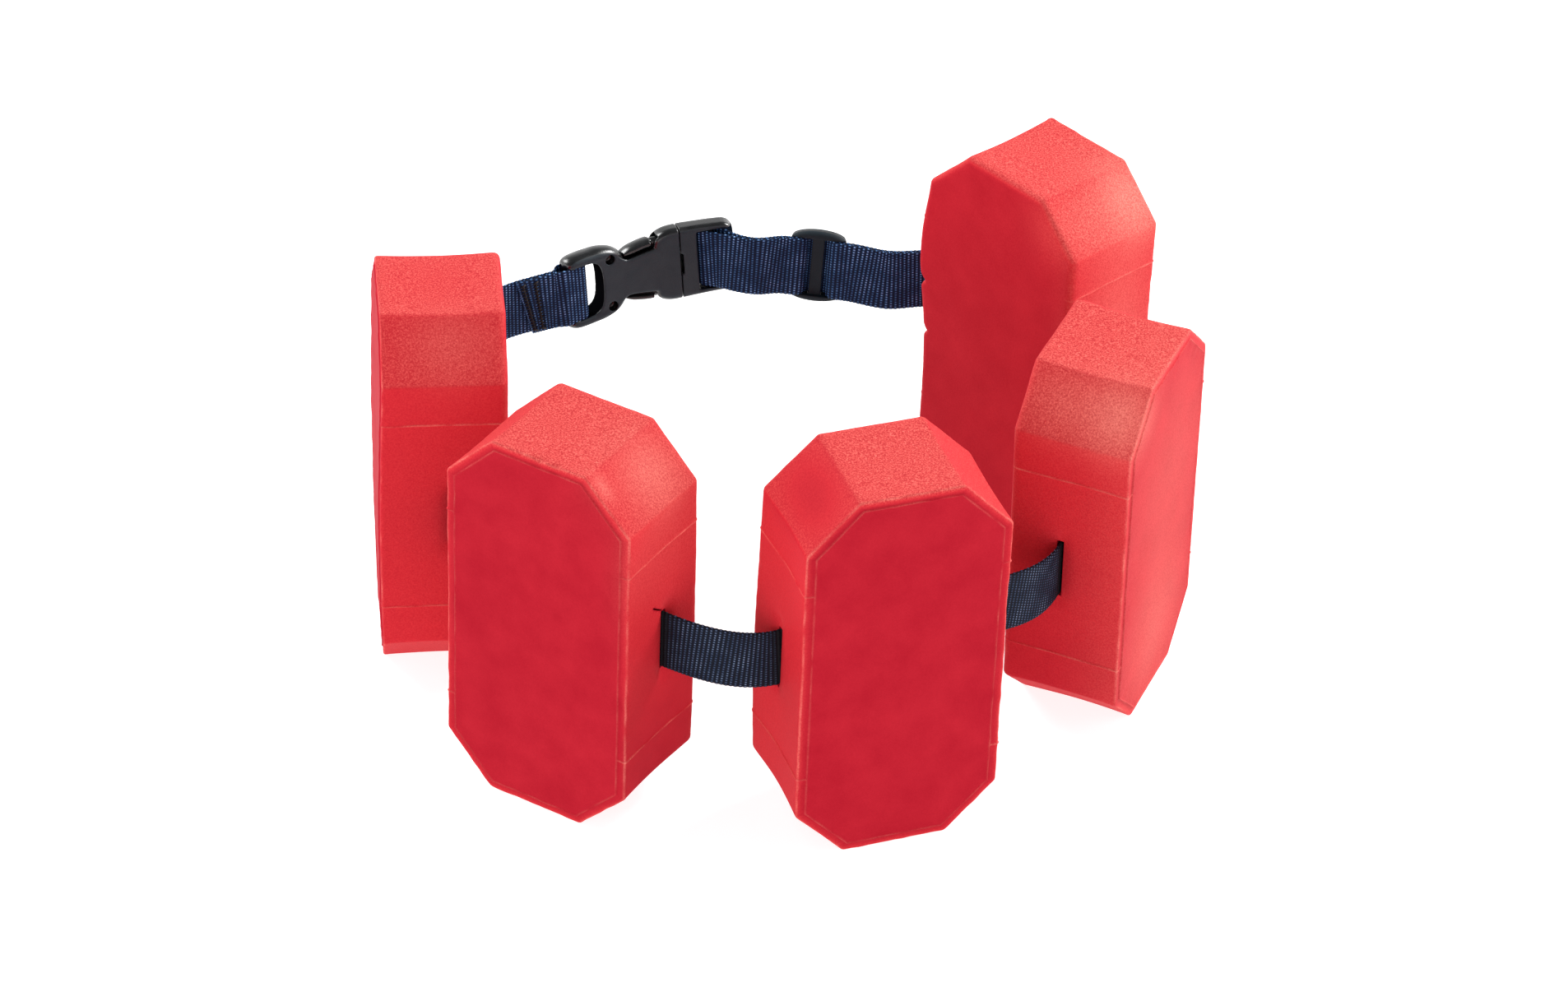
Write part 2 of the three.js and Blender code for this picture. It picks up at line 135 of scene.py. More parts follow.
# Dents, nicks and bulges of single floats, in a float's own frame: middle, reach, and push of the foam
DENTS = table("node at reach push", [
    ("float_back_right", (47.0, 28.0, 32.0), (28.0, 30.0, 34.0), (4.6, 1.5, 0.0)),
    ("float_back_right", (50.0, 28.0, 15.0), (7.0, 9.0, 2.2), (-3.2, 0.0, 0.0)),
    ("float_back_right", (48.0, 28.0, -13.0), (7.0, 9.0, 2.0), (-2.6, 0.0, 0.0)),
    ("float_left", (47.0, -28.0, -15.0), (40.0, 14.0, 70.0), (0.0, -1.8, 0.0)),
    ("float_left", (-40.0, -28.0, 0.0), (45.0, 14.0, 110.0), (0.0, -1.8, 0.0)),
    ("float_front_right", (-47.0, 28.0, -10.0), (24.0, 22.0, 90.0), (-3.4, 0.0, 0.0)),
    ("float_front_left", (47.0, 28.0, -20.0), (24.0, 22.0, 90.0), (1.5, 0.0, 0.0)),
    ("float_front_left", (1.0, -28.0, 95.0), (3.0, 2.5, 2.5), (0.0, 0.9, -1.6)),
    ("float_front_left", (8.5, -28.0, 95.0), (2.5, 2.5, 2.5), (0.0, 0.5, -1.2)),
    ("float_front_left", (4.5, -28.0, 94.5), (2.0, 2.0, 2.0), (0.0, -1.0, 0.5)),
])

# Patches where the foam is made pale or its cells more or less open: middle and reach in a float's
# own frame. Besides wear, they hold painted light and shade: paler, more open patches on chamfers and
# faces turned to the lamps on the right, and less open, darker patches on faces turned away and low on
# narrow sides between floats, where a neighbour's shade falls
WEAR_AND_LIGHT_PATCHES = table("node at reach pale open", [
    ("float_front_left", (36.0, 6.0, 82.0), (20.0, 18.0, 16.0), 0.6, 0.0),
    ("float_front_left", (30.0, -22.0, 89.0), (9.0, 4.0, 6.0), 0.5, 0.0),
    ("float_front_right", (-36.0, 0.0, 83.0), (16.0, 30.0, 16.0), 0.0, -0.4),
    ("float_back_right", (-36.0, -20.0, 83.0), (22.0, 15.0, 18.0), 0.9, 0.0),
    ("float_back_right", (-36.0, 4.0, 83.0), (16.0, 30.0, 16.0), 0.25, 0.35),
    ("float_back_right", (-47.0, -6.0, 20.0), (9.0, 26.0, 60.0), 0.4, 0.0),
    ("float_right", (-36.0, -18.0, 83.0), (18.0, 14.0, 15.0), 0.7, 0.0),
    ("float_right", (-36.0, 6.0, 83.0), (18.0, 20.0, 15.0), 0.3, 0.2),
    ("float_right", (10.0, -28.0, 25.0), (60.0, 20.0, 70.0), 0.27, 0.0),
    ("float_right", (0.0, -28.0, -65.0), (42.0, 20.0, 42.0), 0.35, 0.0),
    ("float_left", (34.0, 4.0, 84.0), (18.0, 18.0, 18.0), 0.2, 0.0),
    ("float_left", (0.0, 0.0, 95.0), (30.0, 30.0, 10.0), 0.0, -0.25),
    ("float_left", (0.0, -28.0, 0.0), (60.0, 4.0, 120.0), -0.4, 0.0),
    ("float_front_left", (47.0, 0.0, 52.0), (8.0, 60.0, 26.0), 0.12, 0.0),
    ("float_front_left", (47.0, 0.0, -62.0), (8.0, 60.0, 42.0), 0.0, -0.3),
    ("float_right", (-47.0, 0.0, -62.0), (8.0, 60.0, 40.0), 0.0, -0.18),
])

# A slit beside a slot, on a narrow side: its middle, how it slants from level, and its size
SLITS = table("node at slant length wide deep", [
    ("float_front_left", (47.0, -2.0, 18.0), -37.0, 11.5, 0.8, 5.0),
])

# Webbing: its section, its weave and how finely it is divided where it shows and inside the floats
WEBBING = SimpleNamespace(
    width=30.0, thick=1.6, layer_gap=0.4, rib=2.0, rows=46, float_height=0.12, groove=0.2, selvage=0.12,
    step=0.4, hidden_step=4.0, hidden_margin=6.0, shade_length=3.0, span_parts=60, edge_power=24,
    edge_least=0.12, tooth_power=15,
)

# Colours of the yarn by its height in the weave, with painted shade low between the ribs and painted
# highlights on the crests; a shaded tone, darker and greyer, painted between the floats and a lit tone,
# brighter and bluer, near the buckle; and painted shade, near black, where the strap goes into a slot
WEBBING_TONES = {
    "shaded_tone": [(0.0, (0.0010, 0.0020, 0.0068)), (0.3, (0.0082, 0.0160, 0.0410)),
              (0.65, (0.043, 0.072, 0.135)), (1.0, (0.19, 0.24, 0.34))],
    "lit_tone": [(0.0, (0.0013, 0.0055, 0.0220)), (0.3, (0.0115, 0.0420, 0.1250)),
              (0.65, (0.064, 0.175, 0.380)), (1.0, (0.29, 0.48, 0.80))],
    "slot": (0.003, 0.003, 0.005, 1.0),
}

# Yarn: its stray fibres, its worn patches, the light stitches painted as highlights on its ribs, its sheen
# and its relief
YARN = SimpleNamespace(
    fibre=2600.0, stray=0.3, patch=120.0, patch_detail=3.0, worn=(0.35, 0.65, 0.55), crest=2.6,
    dots=(-1.0, 0.7), rough=0.7, sheen=0.15, relief=0.6, relief_height=0.0003,
)

# Buckle and slider places: heading about Z, lean back, rise to the right
BUCKLE = {"x": -54.7, "y": 159.1, "z": 95.2, "heading": 26.0, "lean": 5.5, "rise": 2.7}
SLIDER_PLACE = {"x": 11.6, "y": 162.6, "z": 93.8, "heading": -5.0, "lean": 7.0, "rise": -1.8}
ARCH = SimpleNamespace(radius=180.0, middle=-20.0, out=1.8)

# Ways of the webbing in the arched buckle and in the slider: along, out and the way it runs
SOCKET_TURN = table("along out heading", [
    (-61.8, -3.7, 0.0), (-53.9, -3.7, 0.0), (-50.2, 0.0, 90.0), (-53.9, 3.7, 180.0),
    (-61.8, 3.7, 180.0),
])
PLUG_TURN = table("along out heading", [
    (16.4, -5.0, 142.0), (10.2, 0.3, 98.0), (13.8, 3.9, 0.0), (20.4, 0.4, -64.0),
])
SLIDER_WEAVE = table("along out heading", [
    (14.5, -3.65, 180.0), (10.8, -3.65, 180.0), (6.75, 0.0, 96.0), (0.0, 3.65, 180.0),
    (-6.75, 0.0, 264.0), (-10.8, -3.65, 180.0), (-14.5, -3.65, 180.0),
])
FREE_TO_SLIDER = table("x y z heading lean", [
    (69.4, 156.1, 92.6, 164.0, 3.0), (46.4, 154.9, 92.1, 177.0, 8.0),
])
FREE_TO_PLUG = table("x y z heading lean", [(-18.6, 155.8, 96.3, 176.0, 4.0)])
SEWN = table("x y z heading lean", [
    (-113.1, 125.7, 92.3, 209.0, 4.0), (-126.9, 117.7, 92.4, 210.0, 3.0),
])

# Bar tack that sews the strap's end, which is cut aslant: two zigzag columns across the strap, their
# places along it from its end, and how far the slant reaches
TACK = SimpleNamespace(columns=(2.0, 7.4), half=13.4, stitches=30, zigzag=2.8, radius=0.42, lift=0.1)
SEWN_SLANT = SimpleNamespace(slope=0.27, reach=16.0)

# Dark sewing thread
THREAD = SimpleNamespace(twist=3000.0, rough=0.6)
THREAD_TONES = [(0.3, (0.004, 0.003, 0.004)), (0.7, (0.014, 0.009, 0.010))]

# Buckle socket: half widths along its length, zero at the seam
SOCKET = SimpleNamespace(thick=10.0, collar_fillet=3.2, plate_fillet=1.3, seam=-0.25, voxel=0.4)
SOCKET_COLLAR = table("along half", [
    (2.6, 19.2), (-4.0, 19.2), (-8.0, 18.5), (-11.0, 17.1), (-13.0, 15.2), (-13.9, 12.0),
])
SOCKET_PLATE = table("along half", [
    (-9.0, 12.2), (-14.0, 11.6), (-22.0, 10.5), (-27.6, 9.9), (-30.2, 11.2), (-34.0, 14.0),
    (-42.0, 15.6), (-47.0, 15.8),
])
SOCKET_EAR = table("along rise half deep", [
    (-29.6, 10.0, 1.6, 3.2), (-32.4, 12.4, 2.6, 4.4), (-36.5, 14.5, 3.3, 5.2), (-42.0, 15.6, 3.6, 5.6),
    (-47.0, 16.0, 3.3, 5.8), (-52.0, 16.2, 3.2, 5.8), (-56.4, 16.1, 3.1, 5.6), (-59.2, 15.7, 2.7, 5.0),
    (-60.8, 15.4, 1.8, 3.6),
])
SOCKET_BAR = {"along": -59.2, "half": 2.4, "deep": 2.2, "rise": 16.5}
SOCKET_OPENING = table("along half", [
    (-56.8, 14.6), (-50.0, 14.4), (-46.0, 13.4), (-43.6, 11.6), (-42.2, 8.4), (-41.6, 4.0),
])
SOCKET_CAVITY = {"from": -29.6, "half": 16.9, "deep": 3.1}
SOCKET_DOT = {"along": -37.3, "rise": 12.7, "radius": 2.6, "floor": 0.6}

# Buckle plug: plate, arms, bars, prongs and release tabs
PLUG = SimpleNamespace(
    thick=9.4, fillet=2.4, seam=0.25, reach=3.0, end=27.6, half=19.2, end_half=18.4, end_corner=6.0,
    slot_from=8.8, slot_to=22.8, slot_half=15.9, end_bar_inside=0.3, notch_deep=1.5, notch_half=5.6,
    voxel=0.4,
)
PLUG_BAR = {"along": 16.4, "half": 1.8, "deep": 1.4, "rise": 17.0}
PRONG = table("along rise half deep", [
    (3.0, 13.3, 2.6, 2.5), (-14.0, 13.3, 2.6, 2.5), (-22.0, 12.5, 2.4, 2.5), (-28.6, 11.2, 1.5, 2.4),
])
PRONG_TAB = table("along rise half deep", [
    (-14.6, 14.4, 1.8, 4.3), (-19.0, 13.9, 1.8, 4.3), (-25.0, 12.7, 1.7, 4.1), (-29.0, 11.6, 0.9, 3.4),
])

# Mouldings: how often and how much their cut edges are smoothed, and the fillet of a sharp cutter.
# Their finish: how far below a flat face a point is still matte, the way from there to the glossy rounds,
# and how near an opening its wall is, for the painted shade on an opening's walls
MOULDING = SimpleNamespace(passes=4, smoothing=0.5, cutter_fillet=0.01)
FINISH = SimpleNamespace(below=0.7, blend=0.5, wall=0.6)
# Colours of the plastic: glossy rounds, sparked flat faces, and the dark that darkened parts are mixed to,
# painted shade on an opening's walls
PLASTIC_TONES = {
    "glossy": [(0.35, (0.0020, 0.0026, 0.0036)), (0.75, (0.0040, 0.0050, 0.0064))],
    "sparked": [(0.35, (0.0065, 0.0180, 0.0265)), (0.65, (0.0115, 0.0245, 0.0340))],
    "darkened": (0.002, 0.002, 0.0025, 1.0),
}

# Plastic: its spark texture, its rubbed parts, how dark its darkened parts get (painted shade on an
# opening's walls), its sheen and its relief
PLASTIC = SimpleNamespace(
    spark=2200.0, rub=130.0, rub_detail=4.0, darkened=0.7, rough=(0.27, 0.62), rub_rough=0.25,
    sheen=(0.8, 0.42), round_relief=0.3, relief=0.25, relief_height=0.00015,
)

# Slider: straight sides, arched ends, two slots beside a middle bar
SLIDER = SimpleNamespace(
    half=13.3, side=14.0, rise=4.6, thick=7.0, fillet=2.4, darkened=0.5, bar_deep=1.1, slot_from=3.0,
    slot_to=10.5, slot_half=15.2, voxel=0.3,
)


# Helpers for meshes

def add_object(name, data):
    made = bpy.data.objects.new(name, data)
    bpy.context.scene.collection.objects.link(made)
    return made


def write_mesh(name, points, faces):
    """A new object whose points are given in millimetres, but not yet scaled to metres."""
    mesh = bpy.data.meshes.new(name)
    mesh.from_pydata([tuple(point) for point in points], [], [tuple(face) for face in faces])
    mesh.update()
    return add_object(name, mesh)


def grid_faces(rings, around, capped=False):
    """Quads between neighbouring rings of points, with a face over each end if capped."""
    faces = []
    for ring in range(rings - 1):
        for k in range(around):
            a, b = ring * around + k, ring * around + (k + 1) % around
            faces.append((a, b, b + around, a + around))
    if capped:
        end = (rings - 1) * around
        faces += [tuple(reversed(range(around))), tuple(range(end, end + around))]
    return faces


def bake_modifiers(piece):
    """Carries the modifiers out and keeps the mesh that they make."""
    graph = bpy.context.evaluated_depsgraph_get()
    mesh = bpy.data.meshes.new_from_object(piece.evaluated_get(graph))
    piece.modifiers.clear()
    piece.data = mesh


def mesh_points(mesh):
    points = np.zeros(len(mesh.vertices) * 3)
    mesh.vertices.foreach_get("co", points)
    return points.reshape(-1, 3)


def add_values(piece, name, values):
    """A number at each point of a mesh, for its material to read."""
    layer = piece.data.attributes.new(name, "FLOAT", "POINT")
    layer.data.foreach_set("value", np.asarray(values, np.float32).ravel())


def place(piece, matrix):
    """Moves a piece's mesh from its own millimetres to its place in the belt, in metres."""
    piece.data.transform(Matrix.Scale(MM, 4) @ matrix)
    piece.data.update()


def face_outward(piece, merge=0.0):
    """Turns all faces the same way, outward, after joining points that are nearer than the merge."""
    work = bmesh.new()
    work.from_mesh(piece.data)
    if merge:
        bmesh.ops.remove_doubles(work, verts=work.verts, dist=merge)
    bmesh.ops.recalc_face_normals(work, faces=work.faces)
    work.to_mesh(piece.data)
    work.free()


def cut(piece, tool):
    """Takes the tool's volume away from the piece."""
    face_outward(tool)
    change = piece.modifiers.new("cut", "BOOLEAN")
    change.operation = "DIFFERENCE"
    change.solver = "EXACT"
    change.object = tool
    bake_modifiers(piece)
    bpy.data.objects.remove(tool)


def dress(piece, node, material):
    """Gives a finished piece its material and puts it in place of a node of the frame."""
    piece.data.materials.clear()
    piece.data.materials.append(material)
    piece.data.shade_smooth()
    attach(piece, "root")
    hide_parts(node)


# Helpers for materials

def new_material(name):
    material = bpy.data.materials.new(name)
    material.use_nodes = True
    tree = material.node_tree
    return material, tree, tree.nodes["Principled BSDF"]


def feed(tree, socket, value):
    """Links an input to another node's output, or sets its value."""
    if isinstance(value, bpy.types.NodeSocket):
        tree.links.new(value, socket)
    else:
        socket.default_value = value


def fill(tree, node, inputs):
    for name, value in inputs.items():
        feed(tree, node.inputs[name], value)


def add_node(tree, kind, inputs=None, **settings):
    made = tree.nodes.new(kind)
    for name, value in settings.items():
        setattr(made, name, value)
    fill(tree, made, inputs or {})
    return made


def object_spot(tree):
    return add_node(tree, "ShaderNodeTexCoord").outputs["Object"]


def attribute(tree, name):
    return add_node(tree, "ShaderNodeAttribute", attribute_name=name).outputs["Fac"]


def cloud_noise(tree, spot, scale, detail=2.0, roughness=0.5):
    inputs = {"Vector": spot, "Scale": scale, "Detail": detail, "Roughness": roughness}
    return add_node(tree, "ShaderNodeTexNoise", inputs).outputs["Fac"]


def rescaled(tree, value, start=0.0, end=1.0, low=0.0, high=1.0):
    """A value from start to end, brought to the span from low to high."""
    inputs = {"Value": value, "From Min": start, "From Max": end, "To Min": low, "To Max": high}
    return add_node(tree, "ShaderNodeMapRange", inputs).outputs["Result"]


def add_bump(tree, shader, height, strength, distance):
    inputs = {"Height": height, "Strength": strength, "Distance": distance}
    feed(tree, shader.inputs["Normal"], add_node(tree, "ShaderNodeBump", inputs).outputs["Normal"])


def ramp(tree, factor, stops):
    """A colour ramp with the given places and colours."""
    made = add_node(tree, "ShaderNodeValToRGB", {"Fac": factor})
    band = made.color_ramp.elements
    while len(band) < len(stops):
        band.new(0.5)
    for element, (position, colour) in zip(band, stops):
        element.position = position
        element.color = (*colour, 1.0)
    return made.outputs["Color"]


def mixed(tree, factor, first, second):
    made = tree.nodes.new("ShaderNodeMix")
    made.data_type = "RGBA"
    for index, value in ((0, factor), (6, first), (7, second)):
        feed(tree, made.inputs[index], value)
    return made.outputs[2]


def math_node(tree, operation, first, second):
    made = tree.nodes.new("ShaderNodeMath")
    made.operation = operation
    for index, value in enumerate((first, second)):
        feed(tree, made.inputs[index], value)
    return made.outputs[0]


# Foam floats

def float_matrix(row):
    """A rolled float stands on the end of its lower face, so its middle is a little higher."""
    roll = math.radians(row["roll"])
    reach = FLOAT.width / 2 - FLOAT.corner_across
    z = FLOAT.height / 2 * math.cos(roll) + reach * abs(math.sin(roll))
    turned = Matrix.Rotation(math.radians(row["turn"]), 4, "Z") @ Matrix.Rotation(roll, 4, "Y")
    return Matrix.Translation((row["x"], row["y"], z)) @ turned


def float_corners():
    side, top = FLOAT.width / 2, FLOAT.height / 2
    shoulder, flat = top - FLOAT.corner_down, side - FLOAT.corner_across
    quarter = [(side, shoulder), (flat, top)]
    upper = quarter + [(-x, z) for x, z in reversed(quarter)]
    return [np.array(point) for point in upper + [(-x, -z) for x, z in upper]]


def edge_marks(start, end):
    """Shares of the way along one edge, closer together at the mould lines of an upright edge."""
    length = np.linalg.norm(end - start)
    parts = int(math.ceil(length / FOAM.cell))
    marks = set(np.linspace(0.0, 1.0, parts + 1)[1:-1])
    if abs(start[0] - end[0]) < FOAM.line_half:
        for line in (-FOAM.line_height, FOAM.line_height):
            for step in range(-2, 3):
                marks.add((line + step * FOAM.line_half - start[1]) / (end[1] - start[1]))
    return sorted(marks)


def float_outline(arc_parts=4):
    """Points of the rounded octagon in X and Z, with the way outward and the corner and mitre at each."""
    corners = float_corners()
    count = len(corners)
    radius = FLOAT.corner_radius
    arcs = []
    for i, corner in enumerate(corners):
        before, after = corners[i] - corners[i - 1], corners[(i + 1) % count] - corners[i]
        angles = [math.atan2(-way[0], way[1]) for way in (before, after)]
        turn = (angles[1] - angles[0] + math.pi) % (2 * math.pi) - math.pi
        outs = [(math.cos(angles[0] + turn * k / arc_parts), math.sin(angles[0] + turn * k / arc_parts))
                for k in range(arc_parts + 1)]
        outs = np.array(outs)
        mitre = (outs[0] + outs[-1]) / (1 + outs[0] @ outs[-1])
        arcs.append((corner - mitre * radius + outs * radius, outs, mitre))
    points, ways, tips, mitres = [], [], [], []
    for i, (arc, outs, mitre) in enumerate(arcs):
        start, end = arc[-1], arcs[(i + 1) % count][0][0]
        between = [start + (end - start) * mark for mark in edge_marks(start, end)]
        points += [*arc, *between]
        ways += [*outs, *[outs[-1]] * len(between)]
        tips += [*[corners[i]] * len(arc), *between]
        mitres += [*[mitre] * len(arc), *[outs[-1]] * len(between)]
    return [np.array(values) for values in (points, ways, tips, mitres)]


def drawn_in(shape, inset):
    """The outline moved inward. A corner's arc shrinks to a point, which then keeps to the mitre."""
    points, ways, tips, mitres = shape
    inset = inset[:, None]
    return np.where(inset > FLOAT.corner_radius, tips - mitres * inset, points - ways * inset)


def float_rings():
    """Rings from the middle of the outer face round to the middle of the inner face."""
    half = FLOAT.depth / 2
    shares = np.linspace(0.0, 1.0, int(FLOAT.width / 2 / FOAM.face_cell))[:-1]
    plain = {"share": 1.0, "side": 1.0, "rim": 0.0, "pale": 0.0, "tick": 0.0}
    rings = [{**plain, "y": -half, "inset": OUTER_RIM[0]["inset"], "share": share, "side": 0.0}
             for share in shares]
    for row in OUTER_RIM:
        side = 1.0 - row["inset"] / OUTER_RIM[0]["inset"]
        rings.append({**plain, **row, "y": row["deep"] - half, "side": side, "rim": 1.0})
    low, high = OUTER_RIM[-1]["deep"] - half, half - INNER_RIM[0]["deep"]
    start, stop = FLOAT.slot_inward - FOAM.fine_reach, FLOAT.slot_inward + FOAM.fine_reach
    levels = []
    spans = [(low, start, FOAM.cell), (start, stop, FOAM.fine_cell), (stop, high, FOAM.cell)]
    for bottom, top, cell in spans:
        levels += [*np.linspace(bottom, top, int((top - bottom) / cell) + 1)[1:]]
    rings += [{**plain, "y": y, "inset": 0.0} for y in levels[:-1]]
    for row in INNER_RIM:
        side = 1.0 - row["inset"] / INNER_RIM[-1]["inset"]
        rings.append({**plain, **row, "y": half - row["deep"], "side": side, "rim": 0.5})
    rings += [{**plain, "y": half, "inset": INNER_RIM[-1]["inset"], "share": share, "side": 0.0}
              for share in shares[::-1]]
    return rings


def side_hollow(ways):
    """How far each face round the float is hollowed, from its narrow sides to its top."""
    amounts = (FOAM.side_hollow, FOAM.corner_hollow, FOAM.top_hollow)
    return np.interp(np.abs(ways[:, 1]), FOAM.hollow_tilts, amounts)


def slot_pucker(points, ways, y):
    """Depth that the foam is drawn in round the slot on the narrow sides."""
    beyond = np.maximum(0.0, np.abs(points[:, 1] + FLOAT.slot_drop) - FLOAT.slot_height / 2)
    away = np.hypot(beyond, y - FLOAT.slot_inward) / FOAM.pucker_reach
    return FOAM.pucker * np.exp(-away ** 2) * (np.abs(ways[:, 1]) < FOAM.side_tilt)


def mould_line(points, ways):
    off = (np.abs(points[:, 1]) - FOAM.line_height) / FOAM.line_half
    return np.exp(-off ** 2) * (np.abs(ways[:, 1]) < FOAM.side_tilt)


def float_points(node, seed):
    """Points of one float in its own frame, ring after ring, and how pale and open the foam is there. Both
    also hold painted light: highlights on the rims, lighter tops, and shade on the lower chamfers and in
    patches.
    """
    shape = float_outline()
    outline, ways = shape[:2]
    half = FLOAT.depth / 2
    spine_top = FLOAT.height / 2 - FLOAT.width / 2
    spine = np.stack([np.zeros(len(outline)), np.clip(outline[:, 1], -spine_top, spine_top)], 1)
    hollow = side_hollow(ways)
    line = mould_line(outline, ways)
    rings = float_rings()
    # Tops and chamfers: open cells, lighter partly as painted light from above; lower chamfers darker as
    # painted shade
    amounts = (0.0, FOAM.corner_open, FOAM.corner_open, 1.0)
    opened = np.interp(np.abs(ways[:, 1]), FOAM.open_tilts, amounts)
    opened = opened * np.where(ways[:, 1] < 0, FOAM.foot_lit_share, 1.0)
    opened = FOAM.side_open + (1.0 - FOAM.side_open) * opened
    made, pale, open_cells_and_painted_light = [], [], []
    for ring in rings:
        inset = ring["inset"] + ring["side"] * hollow * (1.0 - (ring["y"] / half) ** 2)
        inset = inset + ring["side"] * slot_pucker(outline, ways, ring["y"])
        inset = inset - ring["side"] * FOAM.line_rise * line
        flat = spine + (drawn_in(shape, inset) - spine) * ring["share"]
        sway = noise.noise(Vector((seed, ring["y"] / FOAM.sway_length, 0.0))) * FOAM.line_sway
        flat[:, 1] += sway * line * ring["side"] * np.sign(outline[:, 1])
        level = ring["y"] - ring["tick"] * FOAM.line_rise * line
        faced = np.full(len(flat), (1 - ring["side"]) * np.sign(ring["y"]))
        out = np.stack([ways[:, 0] * ring["side"], faced, ways[:, 1] * ring["side"]], 1)
        points = np.stack([flat[:, 0], level, flat[:, 1]], 1)
        uneven, fleck = unevenness(points, seed, ring["rim"])
        made.append(points + out * uneven[:, None])
        pale.append((ring["pale"] + FOAM.line_pale * line * max(ring["side"], ring["tick"])) * fleck)
        skin_open = FOAM.inner_open if ring["y"] > 0 else 0.0
        open_cells_and_painted_light.append(skin_open + (opened - skin_open) * ring["side"] ** 2)
    points = dented(np.concatenate(made), node)
    looks = {
        "pale": np.concatenate(pale) + wear_and_painted_light(points, node, "pale"),
        "open_cells_and_painted_light": np.concatenate(open_cells_and_painted_light) + wear_and_painted_light(points, node, "open"),
    }
    return points, looks, len(rings), len(outline)


def unevenness(points, seed, rim):
    """Slow swell of the foam with quicker wear along its rims, and the flecks of its pale marks of wear
    and painted highlight.
    """
    amounts, flecks = [], []
    for point in points:
        spot = Vector(point) + Vector((0.0, 0.0, FOAM.seed_step * seed))
        swell = noise.noise(spot / FOAM.swell_length) * FOAM.swell
        amounts.append(swell + rim * FOAM.rim_wear * noise.noise(spot / FOAM.rim_wear_length))
        flecks.append(FOAM.fleck + FOAM.fleck_swing * noise.noise(spot / FOAM.fleck_length))
    return np.array(amounts), np.array(flecks)


def spread(points, middle, reach):
    """One at the middle of a spot, falling off to nothing round it."""
    return np.exp(-np.sum(((points - np.array(middle)) / np.array(reach)) ** 2, 1))


def dented(points, node):
    for row in rows_of(DENTS, node):
        points = points + spread(points, row["at"], row["reach"])[:, None] * np.array(row["push"])
    return points


def wear_and_painted_light(points, node, look):
    """How much the patches of one float, worn and painted light and shade, change its look at each point.
    """
    patches = [row[look] * spread(points, row["at"], row["reach"]) for row in rows_of(WEAR_AND_LIGHT_PATCHES, node)]
    return sum(patches, np.zeros(len(points)))


def slot_matrix(row):
    """Where the slot lies in a float's own frame."""
    middle = Matrix.Translation((0.0, FLOAT.slot_inward, -FLOAT.slot_drop))
    return middle @ Matrix.Rotation(-math.radians(row["slot_tilt"]), 4, "Y")


def slot_cutter(row):
    reach = Vector((FLOAT.width, FLOAT.slot_width / 2, FLOAT.slot_height / 2))
    made = block("slot_cutter", -reach, reach)
    made.data.transform(slot_matrix(row))
    return made


def slit_cutter(row):
    """A thin blade that goes into a narrow side of a float."""
    reach = Vector((row["deep"], row["length"] / 2, row["wide"] / 2))
    made = block("slit_cutter", -reach, reach)
    turned = Matrix.Rotation(math.radians(row["slant"]), 4, "X")
    made.data.transform(Matrix.Translation(row["at"]) @ turned)
    return made


def make_float(row, seed, material):
    points, looks, rings, around = float_points(row["node"], seed)
    piece = write_mesh(row["node"] + "_foam", points, grid_faces(rings, around))
    for name, values in looks.items():
        add_values(piece, name, np.clip(values, 0, 1))
    face_outward(piece, FOAM.merge)
    cut(piece, slot_cutter(row))
    for slit in rows_of(SLITS, row["node"]):
        cut(piece, slit_cutter(slit))
    place(piece, float_matrix(row))
    dress(piece, row["node"], material)
    piece.data.set_sharp_from_angle(angle=math.radians(FOAM.sharp))


def foam_material():
    """Red closed-cell foam: a smooth skin, an open speckled grain on tops and corners, lighter partly as
    painted light and darker on lower chamfers as painted shade, and pale marks of wear and painted
    highlight.
    """
    material, tree, shader = new_material("foam")
    look, spot = FOAM_LOOK, object_spot(tree)
    open_and_lit, pale = attribute(tree, "open_cells_and_painted_light"), attribute(tree, "pale")
    cells = cloud_noise(tree, spot, look.cells, look.cells_detail, look.cells_rough)
    pits = add_node(tree, "ShaderNodeTexVoronoi", {"Vector": spot, "Scale": look.pits}).outputs["Distance"]
    cloud = cloud_noise(tree, spot, look.cloud, look.cloud_detail)
    mottle = math_node(tree, "DIVIDE", math_node(tree, "ADD", cloud, cells), 2.0)
    skin = ramp(tree, mottle, FOAM_TONES["skin"])
    sides, open_cells_and_painted_light = (ramp(tree, cells, FOAM_TONES[name]) for name in ("sides", "open"))
    colour = mixed(tree, rescaled(tree, open_and_lit, end=FOAM.side_open), skin, sides)
    colour = mixed(tree, rescaled(tree, open_and_lit, start=FOAM.side_open), colour, open_cells_and_painted_light)
    pale_cells = math_node(tree, "MULTIPLY", pale, rescaled(tree, cells, *look.pale_cells))
    fill(tree, shader, {
        "Base Color": mixed(tree, pale_cells, colour, FOAM_TONES["wear_and_painted_light"]),
        "Roughness": rescaled(tree, cells, 0.0, 1.0, *look.rough), "Specular IOR Level": look.sheen,
    })
    relief = math_node(tree, "ADD", cells, math_node(tree, "MULTIPLY", pits, look.pits_share))
    relief = math_node(tree, "MULTIPLY", relief, rescaled(tree, open_and_lit, low=look.skin_relief))
    add_bump(tree, shader, relief, look.relief, look.relief_height)
    return material


# Webbing

def hardware_matrix(row):
    heading, lean, rise = (math.radians(row[name]) for name in ("heading", "lean", "rise"))
    leaned = Matrix.Rotation(-lean, 4, "X") @ Matrix.Rotation(-rise, 4, "Y")
    return Matrix.Translation((row["x"], row["y"], row["z"])) @ Matrix.Rotation(heading, 4, "Z") @ leaned


